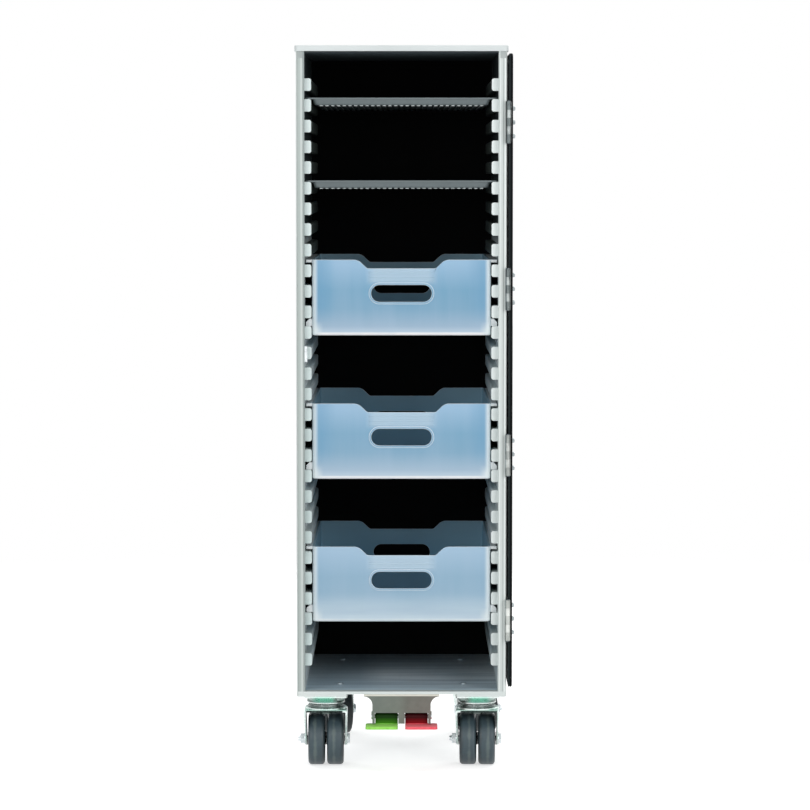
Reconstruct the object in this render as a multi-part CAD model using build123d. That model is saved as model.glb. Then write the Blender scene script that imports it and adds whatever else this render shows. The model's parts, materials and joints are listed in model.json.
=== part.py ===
"""A half-size airline galley trolley with its door folded back, in millimetres.

X runs to the trolley's right as seen from the door side, Y from the door to the back, Z up.
The origin is on the floor, under the middle of the body.
"""

import os

from build123d import *

# Whole trolley
HEIGHT = 1030.0
BODY_WIDTH = 298.0
BODY_DEPTH = 396.0
WALL = 12.0
BACK_THICKNESS = 12.0
PANEL_RECESS = 0.4
BODY_CORNER_R = 3.0

# Clearances that many pieces share
SEAT_GAP = 0.3
RUNNING_GAP = 0.05
OVERRUN = 5.0

# Top cap and the liner under it
CAP_HEIGHT = 8.3
CAP_OVERHANG = 2.0
CAP_CORNER_R = 6.0
CAP_RIM = 9.0
CAP_RECESS = 3.0
CAP_EDGE = 1.0
LINER = 2.0

# Corner posts
POST_DEPTH = 20.0
GROOVE_WIDTH = 0.8
GROOVE_DEPTH = 1.0
LEFT_GROOVES = (1.8, 9.7)
RIGHT_GROOVES = (4.9, 10.9)
BLOCK_WIDTH = 8.5
BLOCK_HEIGHT = 9.7
BLOCK_DEPTH = 14.0
BLOCK_OUTER_WALL = 1.4

# Base
BASE_HEIGHT = 4.0
BASE_RAIL = 16.0
FLOOR_THICKNESS = 2.5
FLOOR_LEDGE = 8.0
RIVET_R = 5.0
RIVET_DOME = 2.4
RIVET_SHOULDER_R = 4.0
RIVET_SHOULDER = 1.8
RIVET_INSET_X = 60.0
RIVET_INSET_Y = 74.0
PAD_SIZE = 72.0
PAD_THICKNESS = 3.6
PAD_CORNER_R = 4.0

# Runners
RUNNER_PITCH = 29.15
RUNNER_HEIGHT = 17.5
RUNNER_PROUD = 9.5
RUNNER_EDGE_R = 3.0
RUNNER_SETBACK = 10.0
FLOOR_BAY = 35.9
TOP_BAY = 35.0

# Door and its edge trim
DOOR_THICKNESS = 5.9
DOOR_FREE_EDGE_PROUD = 0.7
DOOR_CORNER_R = 9.0
DOOR_TOP_GAP = 2.7
DOOR_BOTTOM_GAP = 6.0
DOOR_BODY_GAP = 0.5
DOOR_SKIN_STEP = 0.8
TRIM_WIDTH = 8.5
TRIM_BITE = 6.0
TRIM_ROUND = 2.4
TRIM_GROOVE_WIDTH = 0.9
TRIM_GROOVE_DEPTH = 1.0

# Door hinges
HINGE_COUNT = 4
HINGE_END = 97.0
HINGE_KNUCKLES = 5
KNUCKLE_LENGTH = 11.6
KNUCKLE_GAP = 0.2
KNUCKLE_R = 3.65
PIN_R = 2.2
PIN_HEAD_R = 3.0
PIN_HEAD = 1.0
LEAF_THICKNESS = 1.5
LEAF_SWEEP_GAP = 0.45
AXIS_OUTBOARD = 1.5
AXIS_AHEAD = 0.8
DOOR_EDGE_FROM_AXIS = 4.2
DOOR_LEAF_REACH = 30.0
POST_LEAF_REACH = 18.0
HINGE_RIVET_PITCH = 19.5
HINGE_RIVET_REACH = 20.0
HINGE_RIVET_R = 2.4
HINGE_RIVET_HEAD_R = 3.2
HINGE_RIVET_PROUD = 3.5
HINGE_RIVET_CROWN_R = 2.2
HINGE_RIVET_CROWN = 1.0
HINGE_RIVET_COUNT = 3

# Door latch
LATCH_Z = 595.0
LATCH_WIDTH = 80.0
LATCH_HEIGHT = 70.0
LATCH_CORNER_R = 5.0
LATCH_INSIDE = 6.2
LATCH_WALL = 4.0
LATCH_BOLT_WALL = 8.0
LATCH_FLOOR = 1.2
LATCH_RUNNER_GAP = 0.5
BEZEL_LIP = 4.0
BEZEL_THICKNESS = 1.2
PADDLE_THICKNESS = 3.0
PADDLE_GAP = 1.0
PADDLE_PIVOT_IN = 3.4
PADDLE_PIVOT_DEPTH = 4.0
PADDLE_BARREL_R = 2.4
PADDLE_JOURNAL_R = 1.4
PADDLE_GRIP_DEPTH = 1.2
PADDLE_GRIP_WIDTH = 26.0
PADDLE_GRIP_INSET = 5.0
BOLT_THICKNESS = 2.7
BOLT_HEIGHT = 12.0
BOLT_INSIDE = 14.0
BOLT_CHAMFER = 1.2
STRIKER_HEIGHT = 22.0
STRIKER_THICKNESS = 1.0
STRIKER_REACH = 3.8
STRIKER_SETBACK = 0.2
STRIKER_DEPTH = 8.5

# Moulded drawers
DRAWER_SIDE_GAP = 0.8
DRAWER_FRONT_GAP = 1.0
DRAWER_BACK_GAP = 0.4
DRAWER_WALL = 2.5
DRAWER_CORNER_R = 6.0
DRAWER_FLOOR_R = 3.0
DRAWER_FOOT_RISE = 13.0
DRAWER_FOOT_GAP = 0.9
DRAWER_FOOT_CHAMFER = 5.0
DRAWER_FLANGE = 4.0
DRAWER_FLANGE_LIFT = 2.75
FLANGE_SIDE_GAP = 1.5
DRAWER_SPAN_COUNT = 3
DRAWER_STEP_COUNT = 7
DRAWER_DROP_COUNT = 12
DRAWER_COUNT = 3
NOTCH_TOP_WIDTH = 123.0
NOTCH_BOTTOM_WIDTH = 97.0
NOTCH_DEPTH = 12.3
NOTCH_R = 5.0
GRIP_WIDTH = 86.0
GRIP_HEIGHT = 24.0
GRIP_DROP = 35.6
GRIP_RIM = 3.0
GRIP_RIM_PROUD = 1.6
BAND_WIDTH = 92.0
BAND_RIB = 2.4
BAND_PITCH = 6.4
BAND_PROUD = 0.9
BAND_RIB_COUNT = 3
BAND_DROP = 17.5

# Shelf trays
TRAY_LEVELS = (1, 5)
TRAY_FLANGE = 2.0
TRAY_SIDE_GAP = 1.0
TRAY_CORNER_R = 6.0
TRAY_BASIN_GAP = 0.8
TRAY_BASIN_SLOPE = 4.0
TRAY_BASIN_DEPTH = 8.3
TRAY_BASIN_R = 3.0
TRAY_WALL = 1.8
TRAY_END_LIP = 5.0
TRAY_RIB_PITCH = 8.1
TRAY_RIB_WIDTH = 4.4
TRAY_RIB_HEIGHT = 1.2

# Brake housing
HOUSING_FLANGE_WIDTH = 107.5
HOUSING_WIDTH = 83.2
HOUSING_HEIGHT = 23.4
HOUSING_DEPTH = 62.0
HOUSING_SETBACK = 2.0
FLARE_R = 12.15
CHEEK_DROP = 15.5
CHEEK_THICKNESS = 3.4
CHEEK_DEPTH = 30.0
CHEEK_R = 7.0
TONGUE_WIDTH = 9.0
NUB_R = 2.2
NUB_PROUD = 1.4

# Pedals and the rod that they drive
PIVOT_PIN_R = 3.0
PIVOT_PIN_HEAD = 1.5
PIVOT_PIN_HEAD_R = 4.6
PIVOT_DROP = 7.2
PIVOT_BACK = 16.0
PEDAL_HUB_R = 6.0
PEDAL_GAP = 0.7
TREAD_WIDTH = 46.0
TREAD_DEPTH = 34.0
TREAD_HEIGHT = 4.0
TREAD_FORWARD = 16.0
TREAD_DROP = 2.0
TREAD_R = 4.5
TREAD_EDGE = 1.0
PEDAL_WEB = 8.0
ROD_R = 4.0
ROD_DROP = 10.4
ROD_BORE = 24.0
ROD_TRAVEL = 6.0
CROSS_BAR_DEPTH = 10.0
CROSS_BAR_HEIGHT = 6.0
CROSS_BAR_END_GAP = 1.5
GUIDE_WIDTH = 20.0
GUIDE_DEPTH = 14.0
GUIDE_BELOW = 4.0
GUIDE_SPREAD = 110.0

# Casters
CASTER_INSET_X = 40.5
CASTER_INSET_Y = 38.0
CASTER_TRAIL = 22.0
WHEEL_R = 37.5
TYRE_WIDTH = 23.8
TYRE_SHOULDER = 5.0
TYRE_THICKNESS = 9.0
TYRE_SEAT_LIP = 1.6
WHEEL_GAP = 3.2
HUB_RIM = 3.0
HUB_WEB = 5.0
HUB_BOSS_R = 9.0
HUB_BOSS_PROUD = 0.9
AXLE_R = 4.0
AXLE_HEAD = 4.2
AXLE_HEAD_ACROSS = 13.0
AXLE_NUT = 6.5
AXLE_TIP = 4.2
AXLE_TIP_R = 3.4
FORK_THICKNESS = 3.0
FORK_CROWN = 3.8
FORK_TOP_WIDTH = 62.4
FORK_FOOT_WIDTH = 59.4
FORK_BEND_R = 4.5
FORK_CLEARANCE = 6.6
FORK_CROWN_DEPTH = 46.0
FORK_EAR_R = 9.5
DISH_R = 29.5
DISH_HEIGHT = 2.4
LOWER_RACE_R = 25.5
LOWER_RACE_HEIGHT = 2.5
WAIST_R = 23.0
WAIST_HEIGHT = 0.8
UPPER_RACE_R = 27.2
UPPER_RACE_BAND = 3.0
LOWER_FLANK_HEIGHT = 3.2
UPPER_FLANK_HEIGHT = 6.0
NECK_R = 21.0
MOUNT_PLATE = 62.0
MOUNT_PLATE_THICKNESS = 3.0
KING_PIN_R = 6.0
KING_NUT_R = 9.0
KING_NUT = 3.8

# How far each caster is turned, as the trolley was left standing, and which of its sides has the nut
CASTER_ANGLES = {"front_left": 0.5, "front_right": -2.0, "rear_left": 11.0, "rear_right": 13.5}
NUT_SIDES = {"front_left": -1, "front_right": -1, "rear_left": 1, "rear_right": -1}

# Places worked out from the sizes
HALF_WIDTH = BODY_WIDTH / 2
HALF_DEPTH = BODY_DEPTH / 2
CROWN_UNDERSIDE = 2 * WHEEL_R + FORK_CLEARANCE
CROWN_TOP = CROWN_UNDERSIDE + FORK_CROWN
DISH_TOP = CROWN_TOP + DISH_HEIGHT
LOWER_RACE_BOTTOM = DISH_TOP + SEAT_GAP
LOWER_RACE_TOP = LOWER_RACE_BOTTOM + LOWER_RACE_HEIGHT
WAIST_TOP = LOWER_RACE_TOP + WAIST_HEIGHT
UPPER_RACE_BOTTOM = WAIST_TOP + LOWER_FLANK_HEIGHT
UPPER_RACE_TOP = UPPER_RACE_BOTTOM + UPPER_RACE_BAND
NECK_TOP = UPPER_RACE_TOP + UPPER_FLANK_HEIGHT
PAD_BOTTOM = NECK_TOP + MOUNT_PLATE_THICKNESS
BASE_BOTTOM = PAD_BOTTOM + PAD_THICKNESS
FLOOR_Z = BASE_BOTTOM + BASE_HEIGHT
CAP_BOTTOM = HEIGHT - CAP_HEIGHT
CEILING_Z = CAP_BOTTOM - LINER
INNER_X = HALF_WIDTH - WALL
BACK_Y = HALF_DEPTH - BACK_THICKNESS
FRONT_Y = -HALF_DEPTH
RUNNER_FRONT = FRONT_Y + RUNNER_SETBACK
RUNNER_INNER_X = INNER_X - RUNNER_PROUD
RUNNER_SLOT = RUNNER_PITCH - RUNNER_HEIGHT
LOWEST_RUNNER = FLOOR_Z + FLOOR_BAY
RUNNER_ROOM = CEILING_Z - TOP_BAY - RUNNER_HEIGHT - LOWEST_RUNNER
RUNNER_COUNT = int(RUNNER_ROOM / RUNNER_PITCH) + 1
HINGE_X = HALF_WIDTH + AXIS_OUTBOARD
HINGE_Y = FRONT_Y - DOOR_BODY_GAP - DOOR_THICKNESS - AXIS_AHEAD
DOOR_OUTER_Y = HINGE_Y + AXIS_AHEAD
DOOR_INNER_Y = DOOR_OUTER_Y + DOOR_THICKNESS
DOOR_RIGHT = HINGE_X - DOOR_EDGE_FROM_AXIS
DOOR_LEFT = -HALF_WIDTH - DOOR_FREE_EDGE_PROUD
DOOR_BOTTOM = FLOOR_Z + DOOR_BOTTOM_GAP
DOOR_TOP = CAP_BOTTOM - DOOR_TOP_GAP
HINGE_LENGTH = HINGE_KNUCKLES * KNUCKLE_LENGTH
LOAD_FRONT = RUNNER_FRONT + DRAWER_FRONT_GAP
LOAD_BACK = BACK_Y - DRAWER_BACK_GAP - GRIP_RIM_PROUD
CHEEK_TOP = PAD_BOTTOM - HOUSING_HEIGHT
CHEEK_BOTTOM = CHEEK_TOP - CHEEK_DROP
HOUSING_FRONT = FRONT_Y + HOUSING_SETBACK
PIVOT_Y = HOUSING_FRONT + PIVOT_BACK
PIVOT_Z = CHEEK_TOP - PIVOT_DROP
ROD_Z = PAD_BOTTOM - ROD_DROP
SWIVEL_X = HALF_WIDTH - CASTER_INSET_X
SWIVEL_Y = HALF_DEPTH - CASTER_INSET_Y


def block(x_span, y_span, z_span):
    """A box between two values on each axis."""
    (x0, x1), (y0, y1), (z0, z1) = x_span, y_span, z_span
    corner = (Align.MIN, Align.MIN, Align.MIN)
    return Pos(x0, y0, z0) * Box(x1 - x0, y1 - y0, z1 - z0, align=corner)


def along_x(profile, x0, x1):
    """A profile drawn in Y and Z, drawn out from x0 to x1."""
    return extrude(Plane.YZ.offset(x0) * profile, x1 - x0)


def along_y(profile, y0, y1):
    """A profile drawn in X and Z, drawn out from y0 to y1."""
    return extrude(Plane.XZ.offset(-y1) * profile, y1 - y0)


def along_z(profile, z0, z1):
    """A profile drawn in X and Y, drawn out from z0 to z1."""
    return extrude(Plane.XY.offset(z0) * profile, z1 - z0)


def outline(*points):
    """A face inside straight lines from point to point."""
    return make_face(Polyline(*points, close=True))


def rectangle(u_span, v_span):
    """A flat rectangle between two values on each of its axes."""
    (u0, u1), (v0, v1) = u_span, v_span
    return Pos(u0, v0) * Rectangle(u1 - u0, v1 - v0, align=(Align.MIN, Align.MIN))


def rounded(u_span, v_span, radius):
    """The same rectangle with its corners rounded."""
    (u0, u1), (v0, v1) = u_span, v_span
    return Pos((u0 + u1) / 2, (v0 + v1) / 2) * RectangleRounded(u1 - u0, v1 - v0, radius)


def turned(points):
    """A solid of revolution about Z from points of radius and height."""
    return revolve(Plane.XZ * outline(*points), Axis.Z)


def mirrored(shape):
    """The same shape on the other side of the trolley."""
    return mirror(shape, about=Plane.YZ)


def group(solids):
    """Several separate solids kept together as one node."""
    return Compound(children=[solid for shape in solids for solid in shape.solids()])


def runner_bottom(level):
    """Underside of a runner, counted up from the floor."""
    return LOWEST_RUNNER + level * RUNNER_PITCH


def runner_top(level):
    """The top of a runner, where a tray or a drawer foot rests."""
    return runner_bottom(level) + RUNNER_HEIGHT


def top_cap():
    """The moulded cap, with a raised rim round its flat top."""
    half_x = HALF_WIDTH + CAP_OVERHANG
    half_y = HALF_DEPTH + CAP_OVERHANG
    cap = along_z(rounded((-half_x, half_x), (-half_y, half_y), CAP_CORNER_R), CAP_BOTTOM, HEIGHT)
    cap = chamfer(cap.faces().sort_by(Axis.Z)[-1].edges(), CAP_EDGE)
    in_x = half_x - CAP_RIM
    in_y = half_y - CAP_RIM
    hollow = rounded((-in_x, in_x), (-in_y, in_y), CAP_CORNER_R)
    return cap - along_z(hollow, HEIGHT - CAP_RECESS, HEIGHT + OVERRUN)


def ceiling_panel():
    """The flat liner that closes the top of the load space."""
    return block((-INNER_X, INNER_X), (FRONT_Y, BACK_Y), (CEILING_Z, CAP_BOTTOM))


def side_panel():
    """The right sandwich panel, between the front and rear posts."""
    reach = HALF_DEPTH - POST_DEPTH
    return block((INNER_X, HALF_WIDTH - PANEL_RECESS), (-reach, reach), (FLOOR_Z, CAP_BOTTOM))


def back_panel():
    """The closed back, between the rear posts."""
    return block(
        (-INNER_X, INNER_X), (BACK_Y, HALF_DEPTH - PANEL_RECESS), (FLOOR_Z, CAP_BOTTOM)
    )


def hinge_heights():
    """The middle of each door hinge."""
    low = DOOR_BOTTOM + HINGE_END
    high = DOOR_TOP - HINGE_END
    return [low + (high - low) * i / (HINGE_COUNT - 1) for i in range(HINGE_COUNT)]


def corner_block_space(front):
    """Where the corner block sits in the top of a right-hand post."""
    outer = HALF_WIDTH - BLOCK_OUTER_WALL
    y_span = (FRONT_Y, FRONT_Y + BLOCK_DEPTH) if front else (HALF_DEPTH - BLOCK_DEPTH, HALF_DEPTH)
    return block(
        (outer - BLOCK_WIDTH, outer), y_span, (CAP_BOTTOM - BLOCK_HEIGHT, CAP_BOTTOM)
    )


def corner_post(grooves):
    """A right-hand front post: an extrusion with a rounded outer edge and grooves down its face."""
    face = rectangle((INNER_X, HALF_WIDTH), (FRONT_Y, FRONT_Y + POST_DEPTH))
    outer = face.vertices().group_by(Axis.X)[-1].sort_by(Axis.Y)[0]
    face = fillet(outer, BODY_CORNER_R)
    for inset in grooves:
        middle = HALF_WIDTH - inset
        face -= rectangle(
            (middle - GROOVE_WIDTH / 2, middle + GROOVE_WIDTH / 2),
            (FRONT_Y - OVERRUN, FRONT_Y + GROOVE_DEPTH),
        )
    return along_z(face, FLOOR_Z, CAP_BOTTOM) - corner_block_space(True)


def corner_posts():
    """All four posts. The right front one has a seat for each hinge leaf."""
    front_left = mirrored(corner_post(LEFT_GROOVES))
    front_right = corner_post(RIGHT_GROOVES)
    for z in hinge_heights():
        front_right -= block(
            (HALF_WIDTH - LEAF_THICKNESS, HALF_WIDTH + OVERRUN),
            (FRONT_Y - OVERRUN, FRONT_Y + POST_LEAF_REACH),
            (z - HINGE_LENGTH / 2, z + HINGE_LENGTH / 2),
        )
    rear_right = mirror(corner_post(LEFT_GROOVES), about=Plane.XZ)
    return group([front_left, front_right, rear_right, mirrored(rear_right)])


def corner_blocks():
    """The blocks that close the tops of the four posts."""
    right = [corner_block_space(True), corner_block_space(False)]
    return group(right + [mirrored(solid) for solid in right])


def base_frame():
    """The flat ring that the posts stand on, with a ledge for the floor."""
    ring = along_z(
        rounded((-HALF_WIDTH, HALF_WIDTH), (FRONT_Y, HALF_DEPTH), BODY_CORNER_R),
        BASE_BOTTOM,
        FLOOR_Z,
    )
    in_x = INNER_X - FLOOR_LEDGE
    in_y = HALF_DEPTH - BASE_RAIL - FLOOR_LEDGE
    ring -= block((-in_x, in_x), (-in_y, in_y), (BASE_BOTTOM - OVERRUN, FLOOR_Z + OVERRUN))
    return ring - floor_panel()


def floor_panel():
    """The floor of the load space, let into the base frame."""
    half_y = HALF_DEPTH - BASE_RAIL
    return block((-INNER_X, INNER_X), (-half_y, half_y), (FLOOR_Z - FLOOR_THICKNESS, FLOOR_Z))


def floor_rivets():
    """Four dome heads that hold the casters through the floor."""
    dome = turned(
        [(0, 0), (RIVET_R, 0), (RIVET_SHOULDER_R, RIVET_SHOULDER), (0, RIVET_DOME)]
    )
    x = HALF_WIDTH - RIVET_INSET_X
    y = HALF_DEPTH - RIVET_INSET_Y
    return group([Pos(i * x, j * y, FLOOR_Z) * dome for i in (-1, 1) for j in (-1, 1)])


def caster_pads():
    """The four square pads that stiffen the corners of the base."""
    pads = []
    for i in (-1, 1):
        for j in (-1, 1):
            middle = (i * (HALF_WIDTH - PAD_SIZE / 2), j * (HALF_DEPTH - PAD_SIZE / 2))
            face = Pos(*middle) * RectangleRounded(PAD_SIZE, PAD_SIZE, PAD_CORNER_R)
            pads.append(along_z(face, PAD_BOTTOM, BASE_BOTTOM))
    return group(pads)


def runner(level):
    """One right-hand runner, with its two inner edges rounded."""
    low = runner_bottom(level)
    face = rectangle((RUNNER_INNER_X, INNER_X), (low, low + RUNNER_HEIGHT))
    face = fillet(face.vertices().group_by(Axis.X)[0], RUNNER_EDGE_R)
    return along_y(face, RUNNER_FRONT, BACK_Y)


def runners():
    """Every runner on the right wall."""
    return [runner(level) for level in range(RUNNER_COUNT)]


def latch_striker():
    """The keeper on the left front post: a bent plate whose lip the bolt goes behind."""
    z_span = (LATCH_Z - STRIKER_HEIGHT / 2, LATCH_Z + STRIKER_HEIGHT / 2)
    front = FRONT_Y + STRIKER_SETBACK
    foot = rectangle((-INNER_X, STRIKER_THICKNESS - INNER_X), (front, front + STRIKER_DEPTH))
    lip = rectangle((-INNER_X, STRIKER_REACH - INNER_X), (front, front + STRIKER_THICKNESS))
    return along_z(foot + lip, *z_span)


def knuckle_spans(z, owner):
    """The heights of every second knuckle of a hinge: 0 for the post's, 1 for the door's."""
    low = z - HINGE_LENGTH / 2
    return [
        (low + i * KNUCKLE_LENGTH + KNUCKLE_GAP / 2, low + (i + 1) * KNUCKLE_LENGTH - KNUCKLE_GAP / 2)
        for i in range(owner, HINGE_KNUCKLES, 2)
    ]


def hinge_leaf(z, owner, plate):
    """A leaf: its plate, cut clear of the other leaf's knuckles, and its own knuckles."""
    leaf = along_z(plate, z - HINGE_LENGTH / 2, z + HINGE_LENGTH / 2)
    axis = Pos(HINGE_X, HINGE_Y)
    for low, high in knuckle_spans(z, 1 - owner):
        sweep = axis * Circle(KNUCKLE_R + LEAF_SWEEP_GAP)
        leaf -= along_z(sweep, low - KNUCKLE_GAP, high + KNUCKLE_GAP)
    for low, high in knuckle_spans(z, owner):
        leaf += along_z(axis * Circle(KNUCKLE_R), low, high)
    bore = axis * Circle(PIN_R + RUNNING_GAP)
    return leaf - along_z(bore, z - HINGE_LENGTH, z + HINGE_LENGTH)


def hinge_post_leaves():
    """The leaves let into the side of the right front post."""
    plate = rectangle(
        (HALF_WIDTH - LEAF_THICKNESS, HALF_WIDTH), (HINGE_Y, FRONT_Y + POST_LEAF_REACH)
    )
    return group([hinge_leaf(z, 0, plate) for z in hinge_heights()])


def hinge_pins():
    """The hinge pins, with a small head at each end."""
    pins = []
    for z in hinge_heights():
        low = z - HINGE_LENGTH / 2
        high = z + HINGE_LENGTH / 2
        shape = turned(
            [
                (0, low - PIN_HEAD),
                (PIN_HEAD_R, low - PIN_HEAD),
                (PIN_HEAD_R, low),
                (PIN_R, low),
                (PIN_R, high),
                (PIN_HEAD_R, high),
                (PIN_HEAD_R, high + PIN_HEAD),
                (0, high + PIN_HEAD),
            ]
        )
        pins.append(Pos(HINGE_X, HINGE_Y) * shape)
    return group(pins)


def folded_back(shape):
    """The door's pieces are drawn shut. This swings them three quarters of a turn on the hinge."""
    return Pos(HINGE_X, HINGE_Y) * Rot(0, 0, 270) * Pos(-HINGE_X, -HINGE_Y) * shape


def latch_span():
    """The latch body's left and right ends on the shut door, just inside the runners."""
    left = -RUNNER_INNER_X + LATCH_RUNNER_GAP
    return left, left + LATCH_WIDTH


def latch_cavity():
    """The left and right ends of the cup that the paddle lies in."""
    left, right = latch_span()
    return left + LATCH_BOLT_WALL, right - LATCH_WALL


def door_outline(inset):
    """The shut door's outline, or one that lies inside it by an inset."""
    return rounded(
        (DOOR_LEFT + inset, DOOR_RIGHT - inset),
        (DOOR_BOTTOM + inset, DOOR_TOP - inset),
        DOOR_CORNER_R - inset,
    )


def hinge_rivet_places():
    """Where the rivets go through the shut door."""
    middle = (HINGE_RIVET_COUNT - 1) / 2
    offsets = [(i - middle) * HINGE_RIVET_PITCH for i in range(HINGE_RIVET_COUNT)]
    return [(HINGE_X - HINGE_RIVET_REACH, z + dz) for z in hinge_heights() for dz in offsets]


def door_panel():
    """The panel, thinner round its edge where the trim grips it, with the latch cut out."""
    core = along_y(door_outline(TRIM_WIDTH), DOOR_OUTER_Y, DOOR_INNER_Y)
    edge = door_outline(TRIM_WIDTH - TRIM_BITE)
    panel = core + along_y(edge, DOOR_OUTER_Y + DOOR_SKIN_STEP, DOOR_INNER_Y - DOOR_SKIN_STEP)
    z_span = (LATCH_Z - LATCH_HEIGHT / 2, LATCH_Z + LATCH_HEIGHT / 2)
    hole = rounded(latch_span(), z_span, LATCH_CORNER_R)
    panel -= along_y(hole, DOOR_OUTER_Y - OVERRUN, DOOR_INNER_Y + OVERRUN)
    for x, z in hinge_rivet_places():
        panel -= along_y(Pos(x, z) * Circle(HINGE_RIVET_R), DOOR_OUTER_Y, DOOR_INNER_Y)
    return panel


def door_edge_trim():
    """The soft trim round the panel's edge: rounded outside, split by a groove, and slotted for the panel."""
    ring = along_y(door_outline(0), DOOR_OUTER_Y, DOOR_INNER_Y)
    faces = ring.faces().sort_by(Axis.Y)
    ring = fillet(faces[0].edges() + faces[-1].edges(), TRIM_ROUND)
    middle = (DOOR_OUTER_Y + DOOR_INNER_Y) / 2
    groove = door_outline(-OVERRUN) - door_outline(TRIM_GROOVE_DEPTH)
    ring -= along_y(groove, middle - TRIM_GROOVE_WIDTH / 2, middle + TRIM_GROOVE_WIDTH / 2)
    ring -= along_y(door_outline(TRIM_WIDTH), DOOR_OUTER_Y - OVERRUN, DOOR_INNER_Y + OVERRUN)
    edge = door_outline(TRIM_WIDTH - TRIM_BITE)
    return ring - along_y(edge, DOOR_OUTER_Y + DOOR_SKIN_STEP, DOOR_INNER_Y - DOOR_SKIN_STEP)


def hinge_door_leaves():
    """The leaves riveted to the door's outer face."""
    outer = DOOR_OUTER_Y - LEAF_THICKNESS
    plate = rectangle((HINGE_X - DOOR_LEAF_REACH, HINGE_X), (outer, DOOR_OUTER_Y))
    leaves = []
    for z in hinge_heights():
        leaves.append(hinge_leaf(z, 1, plate))
    drills = [
        along_y(Pos(x, z) * Circle(HINGE_RIVET_R), outer, DOOR_OUTER_Y)
        for x, z in hinge_rivet_places()
    ]
    return group([leaf - drills for leaf in leaves])


def door_rivets():
    """The hinge rivets, flush outside and round-headed inside."""
    length = LEAF_THICKNESS + DOOR_THICKNESS
    shape = turned(
        [
            (0, 0),
            (HINGE_RIVET_R, 0),
            (HINGE_RIVET_R, length),
            (HINGE_RIVET_HEAD_R, length),
            (HINGE_RIVET_HEAD_R, length + HINGE_RIVET_PROUD - HINGE_RIVET_CROWN),
            (HINGE_RIVET_CROWN_R, length + HINGE_RIVET_PROUD),
            (0, length + HINGE_RIVET_PROUD),
        ]
    )
    start = DOOR_OUTER_Y - LEAF_THICKNESS
    return group([Pos(x, start, z) * Rot(-90, 0, 0) * shape for x, z in hinge_rivet_places()])


def paddle_pivot():
    """The paddle's axis on the shut door, in X and Y."""
    return latch_cavity()[1] - PADDLE_PIVOT_IN, DOOR_OUTER_Y + PADDLE_PIVOT_DEPTH


def bolt_faces():
    """The front and back of the bolt, which ends just clear of the latch body's floor."""
    back = DOOR_INNER_Y + LATCH_INSIDE - LATCH_FLOOR - SEAT_GAP
    return back - BOLT_THICKNESS, back


def latch_housing():
    """The latch body: a cup through the door with a flat bezel round its mouth."""
    low = LATCH_Z - LATCH_HEIGHT / 2
    high = LATCH_Z + LATCH_HEIGHT / 2
    left, right = latch_span()
    back = DOOR_INNER_Y + LATCH_INSIDE
    body = along_y(rounded((left, right), (low, high), LATCH_CORNER_R), DOOR_OUTER_Y, back)
    body = fillet(body.faces().sort_by(Axis.Y)[-1].edges(), LATCH_FLOOR)
    bezel = rounded(
        (left - BEZEL_LIP, right + BEZEL_LIP),
        (low - BEZEL_LIP, high + BEZEL_LIP),
        LATCH_CORNER_R + BEZEL_LIP,
    )
    mouth = DOOR_OUTER_Y - BEZEL_THICKNESS
    body += along_y(bezel, mouth, DOOR_OUTER_Y)
    cup = rounded(latch_cavity(), (low + LATCH_WALL, high - LATCH_WALL), LATCH_WALL)
    body -= along_y(cup, mouth - OVERRUN, back - LATCH_FLOOR)
    front, rear = bolt_faces()
    body -= block(
        (left - OVERRUN, left + LATCH_BOLT_WALL + OVERRUN),
        (front - SEAT_GAP, rear + SEAT_GAP),
        (LATCH_Z - BOLT_HEIGHT / 2 - SEAT_GAP, LATCH_Z + BOLT_HEIGHT / 2 + SEAT_GAP),
    )
    journal = Pos(*paddle_pivot()) * Circle(PADDLE_JOURNAL_R + RUNNING_GAP)
    depth = LATCH_WALL / 2
    return body - along_z(journal, low + depth, high - depth)


def latch_paddle():
    """The press paddle: a plate with a finger groove, hinged along its right edge."""
    left, right = latch_cavity()
    pivot_x, pivot_y = paddle_pivot()
    low = LATCH_Z - LATCH_HEIGHT / 2 + LATCH_WALL + PADDLE_GAP
    high = LATCH_Z + LATCH_HEIGHT / 2 - LATCH_WALL - PADDLE_GAP
    front = DOOR_OUTER_Y - BEZEL_THICKNESS
    face = rounded((left + PADDLE_GAP, pivot_x), (low, high), LATCH_WALL - PADDLE_GAP)
    plate = along_y(face, front, front + PADDLE_THICKNESS)
    barrel = Pos(pivot_x, pivot_y) * Circle(PADDLE_BARREL_R)
    web = rectangle((pivot_x - PADDLE_BARREL_R, pivot_x), (front + PADDLE_THICKNESS / 2, pivot_y))
    plate += along_z(barrel + web, low + LATCH_WALL, high - LATCH_WALL)
    journal = Pos(pivot_x, pivot_y) * Circle(PADDLE_JOURNAL_R)
    reach = PADDLE_GAP + LATCH_WALL / 2 - SEAT_GAP
    plate += along_z(journal, low - reach, high + reach)
    grip_left = left + PADDLE_GAP + PADDLE_GRIP_INSET
    grip = rounded(
        (grip_left, grip_left + PADDLE_GRIP_WIDTH),
        (low + PADDLE_GRIP_INSET, high - PADDLE_GRIP_INSET),
        PADDLE_GRIP_INSET,
    )
    return plate - along_y(grip, front - OVERRUN, front + PADDLE_GRIP_DEPTH)


def latch_bolt():
    """The bolt: a flat bar with a sloped nose that goes behind the striker's lip."""
    front, back = bolt_faces()
    tip = -INNER_X + STRIKER_THICKNESS + SEAT_GAP + SEAT_GAP / 2
    tail = latch_cavity()[0] + BOLT_INSIDE
    face = outline(
        (tip, front),
        (tip + BOLT_CHAMFER, back),
        (tail, back),
        (tail, front),
    )
    return along_z(face, LATCH_Z - BOLT_HEIGHT / 2, LATCH_Z + BOLT_HEIGHT / 2)


def drawer_height():
    """A drawer reaches from below its feet to the flange that lies over a higher runner."""
    return DRAWER_FOOT_RISE + DRAWER_SPAN_COUNT * RUNNER_PITCH + DRAWER_FLANGE_LIFT + DRAWER_FLANGE


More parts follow.
